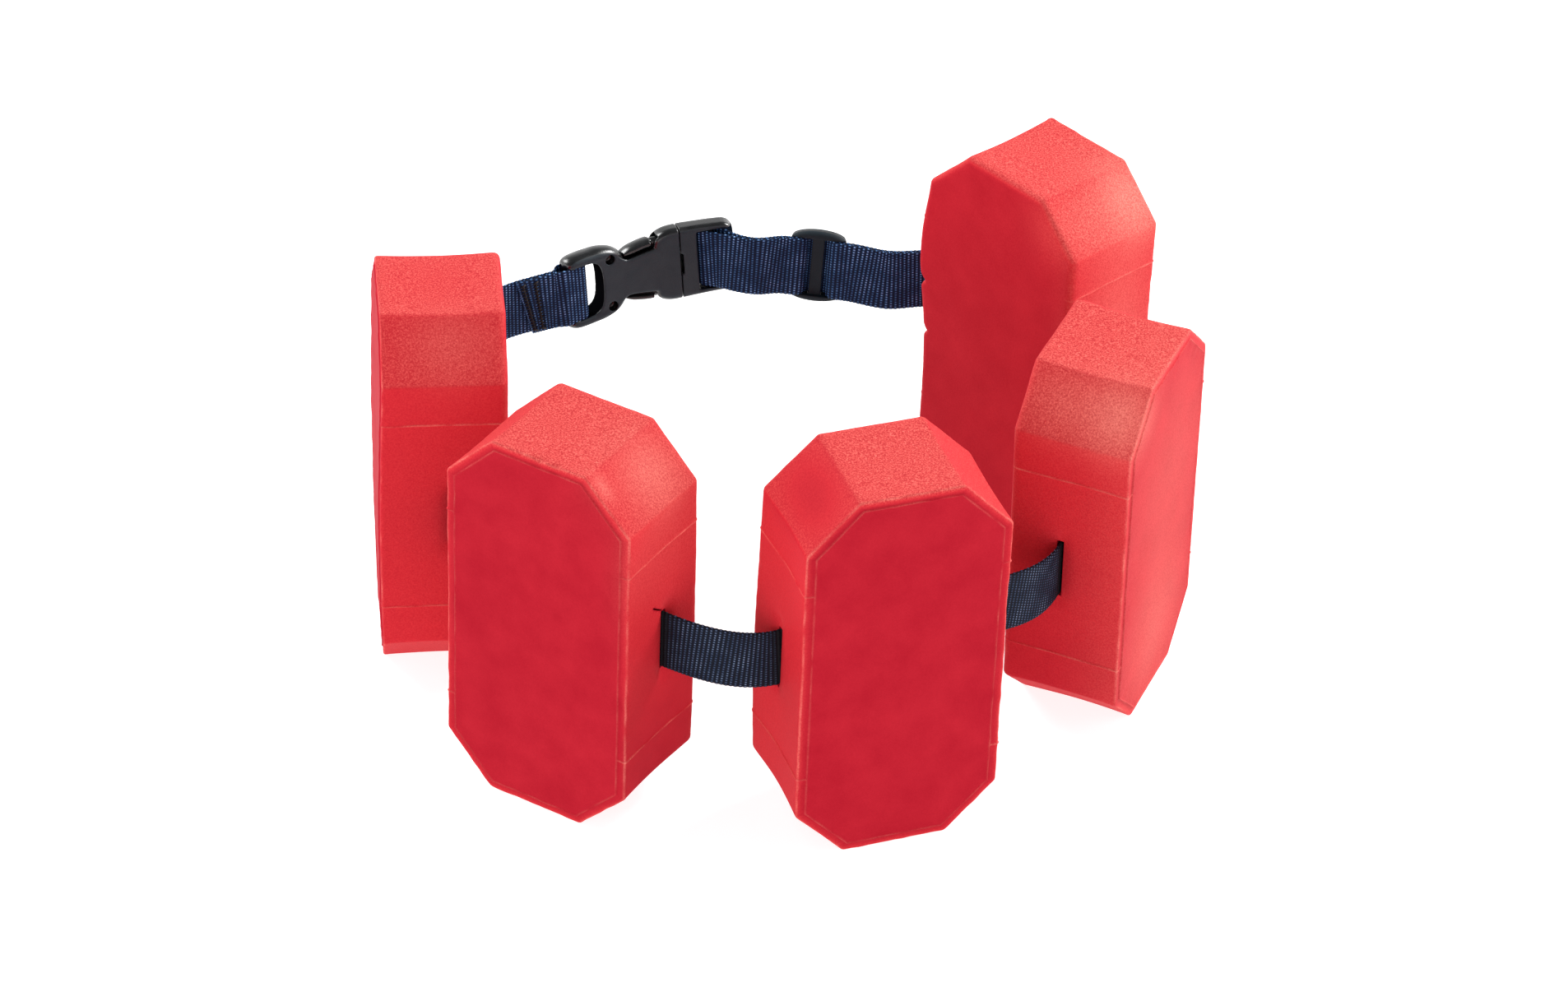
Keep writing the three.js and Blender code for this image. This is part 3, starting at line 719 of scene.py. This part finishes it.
def arch_point(along, out):
    """Where a point of the straight buckle lies on its arch, and how far the arch has turned there."""
    turn = (along - ARCH.middle) / ARCH.radius
    reach = ARCH.radius + out
    return ARCH.middle + reach * np.sin(turn), ARCH.out + reach * np.cos(turn) - ARCH.radius, turn


def station(matrix, along, out, rise, heading):
    """A point of the webbing, the way it runs there, and the way its width points."""
    angle = math.radians(heading)
    turned = matrix.to_3x3()
    return {
        "at": matrix @ Vector((along, out, rise)),
        "run": turned @ Vector((math.cos(angle), math.sin(angle), 0.0)),
        "up": turned @ Vector((0.0, 0.0, 1.0)),
    }


def free_station(row):
    matrix = hardware_matrix({**row, "heading": row["heading"] - 180.0, "rise": 0.0})
    return station(matrix, 0.0, 0.0, 0.0, 180.0)


def arch_station(matrix, row):
    along, out, turn = arch_point(row["along"], row["out"])
    return station(matrix, along, out, 0.0, row["heading"] - math.degrees(turn))


def sideways(mark, distance):
    out = mark["run"].cross(mark["up"]).normalized()
    return {**mark, "at": mark["at"] + out * distance}


def turned_back(mark):
    return {**mark, "run": -mark["run"]}


def webbing_stations():
    """Sewn loop on the socket, then through the floats, then slider, plug bar and back as the tail."""
    buckle, slider = hardware_matrix(BUCKLE), hardware_matrix(SLIDER_PLACE)
    apart = (WEBBING.thick + WEBBING.layer_gap) / 2
    sewn = [free_station(row) for row in SEWN]
    loop = [turned_back(sideways(mark, -apart)) for mark in reversed(sewn)]
    loop += [arch_station(buckle, row) for row in SOCKET_TURN]
    loop += [sideways(mark, apart) for mark in sewn]
    through = []
    for row in FLOATS:
        matrix = float_matrix(row) @ slot_matrix(row)
        for end in (-FLOAT.width / 2, FLOAT.width / 2):
            through.append(station(matrix, end, 0.0, 0.0, 0.0))
    pair = [free_station(row) for row in FREE_TO_SLIDER]
    pair += [station(slider, row["along"], row["out"], 0.0, row["heading"]) for row in SLIDER_WEAVE]
    pair += [free_station(row) for row in FREE_TO_PLUG]
    inner = [sideways(mark, -apart) for mark in pair]
    turn = [arch_station(buckle, row) for row in PLUG_TURN]
    outer = [turned_back(sideways(mark, apart)) for mark in reversed(pair)]
    return loop, through, inner + turn + outer


def span_points(start, end):
    """Points, runs and widths along one span, close to an arc between its two stations."""
    turn = start["run"].angle(end["run"])
    arm = (end["at"] - start["at"]).length / (3 * math.cos(turn / 4) ** 2)
    poles = [start["at"], start["at"] + start["run"] * arm, end["at"] - end["run"] * arm, end["at"]]
    poles = [np.array(pole) for pole in poles]
    t = np.linspace(0.0, 1.0, WEBBING.span_parts)[:, None]
    weights = [(1 - t) ** 3, 3 * t * (1 - t) ** 2, 3 * t ** 2 * (1 - t), t ** 3]
    at = sum(weight * pole for weight, pole in zip(weights, poles))
    slopes = [(1 - t) ** 2, 2 * t * (1 - t), t ** 2]
    run = sum(slope * (poles[k + 1] - poles[k]) for k, slope in enumerate(slopes))
    up = np.array(start["up"]) * (1 - t) + np.array(end["up"]) * t
    return at, run, up


class WebbingPath:
    """The whole strap as a line that can be read at any distance from its sewn end."""

    def __init__(self, stations):
        parts = [span_points(a, b) for a, b in zip(stations, stations[1:])]
        self.at, self.run, self.up = (np.concatenate([part[k] for part in parts]) for k in range(3))
        steps = np.linalg.norm(np.diff(self.at, axis=0), axis=1)
        self.length = np.concatenate([[0.0], np.cumsum(steps)])
        self.stops = self.length[WEBBING.span_parts - 1::WEBBING.span_parts]

    def read(self, distances):
        values = [self.at, self.run, self.up]
        at, run, up = (np.stack([np.interp(distances, self.length, value[:, k]) for k in range(3)], 1)
                       for value in values)
        run = run / np.linalg.norm(run, axis=1)[:, None]
        out = np.cross(run, up)
        out = out / np.linalg.norm(out, axis=1)[:, None]
        return at, run, np.cross(out, run), out


def weave_height(distance, row):
    """Height of the woven face: ribs across the strap, with yarns that pass over every other rib."""
    rib = np.cos(math.pi * distance / WEBBING.rib)[:, None]
    column = np.cos(math.pi * row)[None, :]
    return WEBBING.float_height * rib * column + WEBBING.groove * (np.abs(rib) - 1.0)


def webbing_distances(start, end, hidden):
    """Places of the rings, fine where the strap shows and coarse inside the floats."""
    marks = [start]
    while marks[-1] < end - WEBBING.step / 2:
        inside = any(low < marks[-1] < high for low, high in hidden)
        marks.append(min(end, marks[-1] + (WEBBING.hidden_step if inside else WEBBING.step)))
    return np.array(marks)


def sewn_slant(distances):
    """How far the strap is sheared along itself per millimetre of its width, most at its sewn end."""
    return -SEWN_SLANT.slope * np.clip(1.0 - distances / SEWN_SLANT.reach, 0.0, 1.0)


def bareness(distances, hidden):
    """One where the strap lies open to the light, falling to nothing where it goes into a float."""
    margin = WEBBING.hidden_margin
    away = [np.maximum(low - margin - distances, distances - high - margin) for low, high in hidden]
    return 1.0 - np.exp(-np.maximum(np.min(away, 0), 0.0) / WEBBING.shade_length)


def make_webbing(name, path, start, end, hidden, lit_tone, material):
    """One stretch of the strap: two woven faces and two selvages, with a tooth at the end of each rib."""
    distances = webbing_distances(start, end, hidden)
    at, run, up, out = path.read(distances)
    up = up + run * sewn_slant(distances)[:, None]
    rows = np.arange(WEBBING.rows + 1)
    across = (rows / WEBBING.rows - 0.5) * WEBBING.width
    edge = np.abs(across) / (WEBBING.width / 2)
    taper = np.sqrt(np.clip(1.0 - edge ** WEBBING.edge_power, WEBBING.edge_least, 1.0))
    tooth = WEBBING.selvage * np.cos(2 * math.pi * distances / WEBBING.rib)
    columns, places = [], []
    for side, order in ((1.0, slice(None)), (-1.0, slice(None, None, -1))):
        height = weave_height(distances, rows + (side < 0))[:, order]
        lift = side * (WEBBING.thick / 2 + height) * taper[order]
        tooth_share = (across[order] / WEBBING.width * 2) ** WEBBING.tooth_power
        spread_up = across[order][None, :] + tooth[:, None] * tooth_share
        columns.append(at[:, None] + up[:, None] * spread_up[..., None] + out[:, None] * lift[..., None])
        selvage = side * (WEBBING.width / 2 + tooth)
        columns.append((at + up * selvage[:, None])[:, None])
        places += [*across[order], side * WEBBING.width / 2]
    points = np.concatenate(columns, 1)
    around = points.shape[1]
    piece = write_mesh(name, points.reshape(-1, 3), grid_faces(len(distances), around, capped=True))
    add_values(piece, "along", np.repeat(distances, around))
    add_values(piece, "bare", np.repeat(bareness(distances, hidden), around))
    add_values(piece, "across", np.tile(places, len(distances)))
    add_values(piece, "lit_tone", np.full(len(points) * around, lit_tone))
    face_outward(piece)
    place(piece, Matrix.Identity(4))
    dress(piece, "webbing", material)


def webbing_material():
    """Navy yarn with painted shade, near black, between the ribs, and a row of painted highlights like
    light stitches along each rib.
    """
    material, tree, shader = new_material("webbing")
    along, across = attribute(tree, "along"), attribute(tree, "across")
    spot = object_spot(tree)
    fibre = cloud_noise(tree, spot, YARN.fibre)
    patch = cloud_noise(tree, spot, YARN.patch, YARN.patch_detail)
    rib = math_node(tree, "COSINE", math_node(tree, "MULTIPLY", along, math.pi / WEBBING.rib), 0.0)
    row_turn = math.pi * WEBBING.rows / WEBBING.width
    column = math_node(tree, "COSINE", math_node(tree, "MULTIPLY", across, row_turn), 0.0)
    crest = math_node(tree, "POWER", math_node(tree, "ABSOLUTE", rib, 0.0), YARN.crest)
    dots = rescaled(tree, math_node(tree, "MULTIPLY", rib, column), *YARN.dots)
    light = math_node(tree, "MULTIPLY", crest, dots)
    worn = rescaled(tree, patch, *YARN.worn)
    loose = math_node(tree, "MULTIPLY", math_node(tree, "SUBTRACT", fibre, NOISE_MIDDLE), YARN.stray)
    level = math_node(tree, "ADD", math_node(tree, "MULTIPLY", light, worn), loose)
    shaded_tone, lit_tone = (ramp(tree, level, WEBBING_TONES[name]) for name in ("shaded_tone", "lit_tone"))
    colour = mixed(tree, attribute(tree, "lit_tone"), shaded_tone, lit_tone)
    # Painted shade, near black, where the strap goes into a float's slot
    colour = mixed(tree, attribute(tree, "bare"), WEBBING_TONES["slot"], colour)
    fill(tree, shader, {"Base Color": colour, "Roughness": YARN.rough, "Specular IOR Level": YARN.sheen})
    add_bump(tree, shader, math_node(tree, "ADD", light, loose), YARN.relief, YARN.relief_height)
    return material


def make_all_webbing(material):
    loop, through, adjuster = webbing_stations()
    path = WebbingPath(loop + through + adjuster)
    stops = np.concatenate([[0.0], path.stops])
    first = len(loop)
    pairs = [(stops[first + 2 * k], stops[first + 2 * k + 1]) for k in range(len(FLOATS))]
    margin = WEBBING.hidden_margin
    hidden = [(low + margin, high - margin) for low, high in pairs]
    enter, leave = sum(pairs[0]) / 2, sum(pairs[-1]) / 2
    # The strap between the floats takes the shaded tone and the stretches near the buckle the lit tone, as
    # painted light and shade
    make_webbing("webbing_sewn_loop", path, 0.0, enter, hidden, 1.0, material)
    make_webbing("webbing_through_floats", path, enter, leave, hidden, 0.0, material)
    make_webbing("webbing_adjuster", path, leave, path.length[-1], hidden, 1.0, material)
    return path


# Bar tack

def tube(centres, radius, around=6):
    """Rings and faces of a round thread along some points, closed at both ends."""
    centres = np.array(centres)
    ways = np.gradient(centres, axis=0)
    points = []
    for centre, way in zip(centres, ways):
        run = Vector(way).normalized()
        side = run.orthogonal().normalized()
        other = run.cross(side)
        for k in range(around):
            angle = 2 * math.pi * k / around
            points.append(centre + np.array(side * math.cos(angle) + other * math.sin(angle)) * radius)
    return points, grid_faces(len(centres), around, capped=True)


def make_tack(path, material):
    points, faces = [], []
    for column in TACK.columns:
        at, run, up, out = (value[0] for value in path.read(np.array([column])))
        up = up + run * sewn_slant(column)
        thread = []
        for k in range(2 * TACK.stitches + 1):
            rise = TACK.half * (k / TACK.stitches - 1.0)
            slide = TACK.zigzag / 2 * math.cos(math.pi * k / 2)
            lift = WEBBING.thick / 2 + TACK.lift * (1.0 + abs(math.sin(math.pi * k / 2)))
            thread.append(at + up * rise + run * slide + out * lift)
        ring, quads = tube(thread, TACK.radius)
        faces += [tuple(index + len(points) for index in face) for face in quads]
        points += ring
    piece = write_mesh("bar_tack", points, faces)
    face_outward(piece)
    place(piece, Matrix.Identity(4))
    piece.data.materials.append(material)
    piece.data.shade_smooth()
    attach(piece, "root")


def thread_material():
    material, tree, shader = new_material("thread")
    twist = cloud_noise(tree, object_spot(tree), THREAD.twist)
    fill(tree, shader, {"Base Color": ramp(tree, twist, THREAD_TONES), "Roughness": THREAD.rough})
    return material


# Moulded buckle and slider

def slab(name, outline, thick, fillet, arc_parts=4):
    """A flat outline in X and Z given thickness along Y, with its rims rounded inside the outline."""
    outline = np.array(outline, float)
    before, after = outline - np.roll(outline, 1, 0), np.roll(outline, -1, 0) - outline
    edges = [np.stack([way[:, 1], -way[:, 0]], 1) / np.linalg.norm(way, axis=1)[:, None]
             for way in (before, after)]
    ways = (edges[0] + edges[1]) / (1 + np.sum(edges[0] * edges[1], 1))[:, None]
    turn = np.sum(outline[:, 0] * np.roll(outline[:, 1], -1) - outline[:, 1] * np.roll(outline[:, 0], -1))
    ways = ways * np.sign(turn)
    rings = []
    for side in (-1.0, 1.0):
        angles = np.linspace(0.0, math.pi / 2, arc_parts + 1)
        angles = angles if side < 0 else angles[::-1]
        for angle in angles:
            inset = fillet * (1 - math.sin(angle))
            y = side * (thick / 2 - fillet * (1 - math.cos(angle)))
            flat = outline - ways * inset
            rings.append(np.stack([flat[:, 0], np.full(len(flat), y), flat[:, 1]], 1))
    made = write_mesh(name, np.concatenate(rings), grid_faces(len(rings), len(outline), capped=True))
    face_outward(made)
    return made


def mirrored(rows):
    """Outline that is the same above and below its middle line, from rows of half widths."""
    upper = [(row["along"], row["half"]) for row in rows]
    return upper + [(along, -half) for along, half in reversed(upper)]


def smooth_rows(rows, parts=5):
    """The same table with rows added between, on a smooth curve through them."""
    names = list(rows[0])
    values = np.array([[row[name] for name in names] for row in rows])
    padded = np.concatenate([2 * values[:1] - values[1:2], values, 2 * values[-1:] - values[-2:-1]])
    made = []
    for k in range(len(values) - 1):
        a, b, c, d = padded[k:k + 4]
        for t in np.linspace(0.0, 1.0, parts, endpoint=k + 2 == len(values)):
            made.append(0.5 * (2 * b + (c - a) * t + (2 * a - 5 * b + 4 * c - d) * t ** 2
                               + (3 * b - a - 3 * c + d) * t ** 3))
    return [dict(zip(names, row)) for row in made]


def rod(name, rows, side, around=20):
    """A rounded rod along rows of along, rise, half width and half depth, above or below the middle."""
    rows = smooth_rows(rows)
    line = np.array([(row["along"], side * row["rise"]) for row in rows])
    ways = np.gradient(line, axis=0)
    ways = ways / np.linalg.norm(ways, axis=1)[:, None]
    angles = np.linspace(0.0, 2 * math.pi, around, endpoint=False)
    points = []
    for row, spot, way in zip(rows, line, ways):
        for angle in angles:
            across, deep = row["half"] * math.cos(angle), row["deep"] * math.sin(angle)
            points.append((spot[0] - way[1] * across, deep, spot[1] + way[0] * across))
    made = write_mesh(name, points, grid_faces(len(rows), around, capped=True))
    face_outward(made)
    return made


def cross_bar(name, bar, parts=4):
    """A round bar across the strap's way."""
    rows = [{"along": bar["along"], "rise": rise, "half": bar["half"], "deep": bar["deep"]}
            for rise in np.linspace(-bar["rise"], bar["rise"], parts)]
    return rod(name, rows, 1.0)


def block(name, low, high):
    work = bmesh.new()
    low, high = Vector(low), Vector(high)
    matrix = Matrix.Translation((low + high) / 2) @ Matrix.Diagonal((*(high - low), 1.0))
    bmesh.ops.create_cube(work, size=1.0, matrix=matrix)
    mesh = bpy.data.meshes.new(name)
    work.to_mesh(mesh)
    work.free()
    return add_object(name, mesh)


def circle(along, rise, radius, parts=28):
    angles = np.linspace(0.0, 2 * math.pi, parts, endpoint=False)
    return [(along + radius * math.cos(a), rise + radius * math.sin(a)) for a in angles]


def cutter(name, outline, thick):
    """A slab with sharp rims, to cut with."""
    return slab(name, outline, thick, MOULDING.cutter_fillet, arc_parts=1)


def pocket(name, outline, side, floor, thick):
    """Cutter for a blind pocket from one face of a plate down to a floor."""
    made = cutter(name, outline, thick - floor)
    made.data.transform(Matrix.Translation((0.0, side * (thick + floor) / 2, 0.0)))
    return made


def fuse(name, solids, voxel):
    """One body from overlapping solids."""
    points, faces = [], []
    for solid in solids:
        start = len(points)
        points += [tuple(vertex.co) for vertex in solid.data.vertices]
        faces += [tuple(start + index for index in polygon.vertices) for polygon in solid.data.polygons]
        bpy.data.objects.remove(solid)
    made = write_mesh(name, points, faces)
    remesh(made, voxel)
    return made


def remesh(piece, voxel, passes=0):
    change = piece.modifiers.new("remesh", "REMESH")
    change.mode = "VOXEL"
    change.voxel_size = voxel
    if passes:
        soften = piece.modifiers.new("soften", "SMOOTH")
        soften.factor = MOULDING.smoothing
        soften.iterations = passes
    bake_modifiers(piece)


def arch(piece):
    """Bends a straight moulding to the buckle's arch."""
    points = mesh_points(piece.data)
    points[:, 0], points[:, 1], _ = arch_point(points[:, 0], points[:, 1])
    piece.data.vertices.foreach_set("co", points.ravel())


def add_finish(piece, thick, opening=None, darkened=0.0):
    """Marks a moulding's flat faces, which are matte, and how far it is darkened: the walls of its opening
    get painted shade, darker and without sheen; with no opening the whole moulding is darkened by the
    given share.
    """
    along, deep, rise = np.abs(mesh_points(piece.data)).T
    add_values(piece, "matte", np.clip((deep - thick / 2 + FINISH.below) / FINISH.blend, 0.0, 1.0))
    darkening = np.full(len(deep), darkened)
    if opening:
        places, halves = ([row[name] for row in opening] for name in ("along", "half"))
        room = np.interp(-along, places, halves) + FINISH.wall - rise
        darkening = (room > 0) * (along > -places[-1] - FINISH.wall) * (deep < thick / 2 - FINISH.wall)
    add_values(piece, "darkened", darkening)


def make_socket(material):
    thick, deep = SOCKET.thick, 2 * SOCKET.thick
    solids = [
        slab("collar", mirrored(smooth_rows(SOCKET_COLLAR)), thick, SOCKET.collar_fillet),
        slab("plate", mirrored(smooth_rows(SOCKET_PLATE)), thick, SOCKET.plate_fillet),
        cross_bar("bar", SOCKET_BAR),
        *[rod("ear", SOCKET_EAR, side) for side in (-1.0, 1.0)],
    ]
    piece = fuse("socket_moulding", solids, SOCKET.voxel)
    room, dot = SOCKET_CAVITY, SOCKET_DOT
    cut(piece, cutter("opening", mirrored(smooth_rows(SOCKET_OPENING)), deep))
    inside = (room["from"], -room["deep"], -room["half"]), (deep, room["deep"], room["half"])
    cut(piece, block("cavity", *inside))
    cut(piece, block("seam", (SOCKET.seam, -deep, -3 * deep), (deep, deep, 3 * deep)))
    for side in (-1.0, 1.0):
        for rise in (-dot["rise"], dot["rise"]):
            spot = circle(dot["along"], rise, dot["radius"])
            cut(piece, pocket("dot", spot, side, dot["floor"], thick))
    remesh(piece, SOCKET.voxel, MOULDING.passes)
    add_finish(piece, thick, SOCKET_OPENING)
    arch(piece)
    place(piece, hardware_matrix(BUCKLE))
    dress(piece, "buckle_socket", material)


def plug_outline(parts=6):
    corner = PLUG.end_corner
    angles = np.linspace(0.0, math.pi / 2, parts)
    arc = [(PLUG.end - corner + corner * math.cos(a), PLUG.end_half - corner + corner * math.sin(a))
           for a in angles]
    upper = [*arc, (PLUG.seam - PLUG.reach, PLUG.half)]
    return upper + [(along, -rise) for along, rise in reversed(upper)]


def make_plug(material):
    thick, deep = PLUG.thick, 2 * PLUG.thick
    solids = [slab("frame", plug_outline(), thick, PLUG.fillet)]
    piece = fuse("plug_moulding", solids, PLUG.voxel)
    half = PLUG.slot_half
    cut(piece, block("slot", (PLUG.slot_from, -deep, -half), (PLUG.slot_to, deep, half)))
    cut(piece, block("recess", (PLUG.slot_from, -deep, -half), (2 * deep, PLUG.end_bar_inside, half)))
    cut(piece, block("seam", (-deep, -deep, -3 * deep), (PLUG.seam, deep, 3 * deep)))
    notch = PLUG.notch_half
    cut(piece, block("notch", (-deep, -deep, -notch), (PLUG.notch_deep, 0.0, notch)))
    solids = [piece, cross_bar("bar", PLUG_BAR)]
    for side in (-1.0, 1.0):
        solids += [rod("prong", PRONG, side), rod("tab", PRONG_TAB, side)]
    piece = fuse("plug_moulding", solids, PLUG.voxel)
    remesh(piece, PLUG.voxel, MOULDING.passes)
    add_finish(piece, thick)
    arch(piece)
    place(piece, hardware_matrix(BUCKLE))
    dress(piece, "buckle_plug", material)


def slider_outline(parts=15):
    angles = np.linspace(0.0, math.pi, parts)
    upper = [(SLIDER.half * math.cos(a), SLIDER.side + SLIDER.rise * math.sin(a)) for a in angles]
    return upper + [(-along, -rise) for along, rise in upper]


def make_slider(material):
    thick, half = SLIDER.thick, SLIDER.slot_half
    wide = 2 * SLIDER.half
    solids = [slab("frame", slider_outline(), thick, SLIDER.fillet)]
    piece = fuse("slider_moulding", solids, SLIDER.voxel)
    for side in (-1.0, 1.0):
        ends = sorted((side * SLIDER.slot_from, side * SLIDER.slot_to))
        cut(piece, block("slot", (ends[0], -thick, -half), (ends[1], thick, half)))
        skin = sorted((side * SLIDER.bar_deep, side * thick))
        cut(piece, block("skin", (-wide, skin[0], -half), (wide, skin[1], half)))
    remesh(piece, SLIDER.voxel, MOULDING.passes)
    add_finish(piece, 2 * SLIDER.bar_deep, darkened=SLIDER.darkened)
    place(piece, hardware_matrix(SLIDER_PLACE))
    dress(piece, "slider", material)


def plastic_material():
    """Black moulded plastic: glossy rounds, flat faces with a fine spark texture, and darkened parts
    without sheen, which on an opening's walls are painted shade.
    """
    material, tree, shader = new_material("plastic")
    spot = object_spot(tree)
    matte, darkened = attribute(tree, "matte"), attribute(tree, "darkened")
    spark = cloud_noise(tree, spot, PLASTIC.spark)
    rub = cloud_noise(tree, spot, PLASTIC.rub, PLASTIC.rub_detail)
    glossy = ramp(tree, rub, PLASTIC_TONES["glossy"])
    sparked = ramp(tree, spark, PLASTIC_TONES["sparked"])
    dark = math_node(tree, "MULTIPLY", darkened, PLASTIC.darkened)
    rough = rescaled(tree, matte, 0.0, 1.0, *PLASTIC.rough)
    uneven = math_node(tree, "MULTIPLY", math_node(tree, "SUBTRACT", rub, NOISE_MIDDLE), PLASTIC.rub_rough)
    sheen = rescaled(tree, matte, 0.0, 1.0, *PLASTIC.sheen)
    fill(tree, shader, {
        "Base Color": mixed(tree, dark, mixed(tree, matte, glossy, sparked), PLASTIC_TONES["darkened"]),
        "Roughness": math_node(tree, "ADD", rough, uneven),
        "Specular IOR Level": math_node(tree, "MULTIPLY", sheen, math_node(tree, "SUBTRACT", 1.0, darkened)),
    })
    relief = math_node(tree, "MULTIPLY", spark, rescaled(tree, matte, low=PLASTIC.round_relief))
    add_bump(tree, shader, relief, PLASTIC.relief, PLASTIC.relief_height)
    return material


# Floor, light and camera

def make_floor():
    half = FLOOR.half
    corners = [(-half, -half, 0.0), (half, -half, 0.0), (half, half, 0.0), (-half, half, 0.0)]
    floor = write_mesh("floor", corners, [(0, 1, 2, 3)])
    material, tree, shader = new_material("floor")
    cloud = cloud_noise(tree, object_spot(tree), FLOOR.cloud)
    fill(tree, shader, {
        "Base Color": ramp(tree, cloud, FLOOR_TONES), "Roughness": FLOOR.rough,
        "Emission Color": (1.0, 1.0, 1.0, 1.0), "Emission Strength": FLOOR.glow,
    })
    floor.data.materials.append(material)


def make_light():
    for row in LAMPS:
        lamp = bpy.data.lights.new(row["name"], "AREA")
        lamp.shape = "DISK"
        lamp.size = row["size"]
        lamp.energy = row["power"]
        made = add_object(row["name"], lamp)
        made.location = row["at"]
        made.rotation_mode = "QUATERNION"
        made.rotation_quaternion = (Vector(LIGHT.aim) - Vector(row["at"])).to_track_quat("-Z", "Y")
    world = bpy.data.worlds.new("studio")
    world.use_nodes = True
    tree = world.node_tree
    sky = tree.nodes["Background"]
    way = add_node(tree, "ShaderNodeTexCoord").outputs["Generated"]
    height = add_node(tree, "ShaderNodeSeparateXYZ", {"Vector": way}).outputs["Z"]
    fill(tree, sky, {"Color": ramp(tree, height, STUDIO_TONES), "Strength": LIGHT.world})
    bpy.context.scene.world = world
    bpy.context.scene.view_settings.view_transform = "Standard"


def make_camera():
    """A camera that looks down at the belt from its front, rolled a little."""
    lens = bpy.data.cameras.new("camera")
    lens.sensor_width = CAMERA.sensor
    lens.lens = PHOTO.focal / PHOTO.width * CAMERA.sensor
    camera = add_object("camera", lens)
    tilt, roll = math.radians(90.0 - CAMERA.elevation), math.radians(CAMERA.roll)
    turned = Matrix.Rotation(tilt, 4, "X") @ Matrix.Rotation(roll, 4, "Z")
    away = Matrix.Translation((0.0, 0.0, CAMERA.distance * MM))
    camera.matrix_world = Matrix.Translation(Vector(CAMERA.aim) * MM) @ turned @ away
    bpy.context.scene.camera = camera


make_camera()
make_light()
make_floor()

foam = foam_material()
for number, float_row in enumerate(FLOATS, 1):
    make_float(float_row, number, foam)
strap = make_all_webbing(webbing_material())
make_tack(strap, thread_material())
plastic = plastic_material()
make_socket(plastic)
make_plug(plastic)
make_slider(plastic)
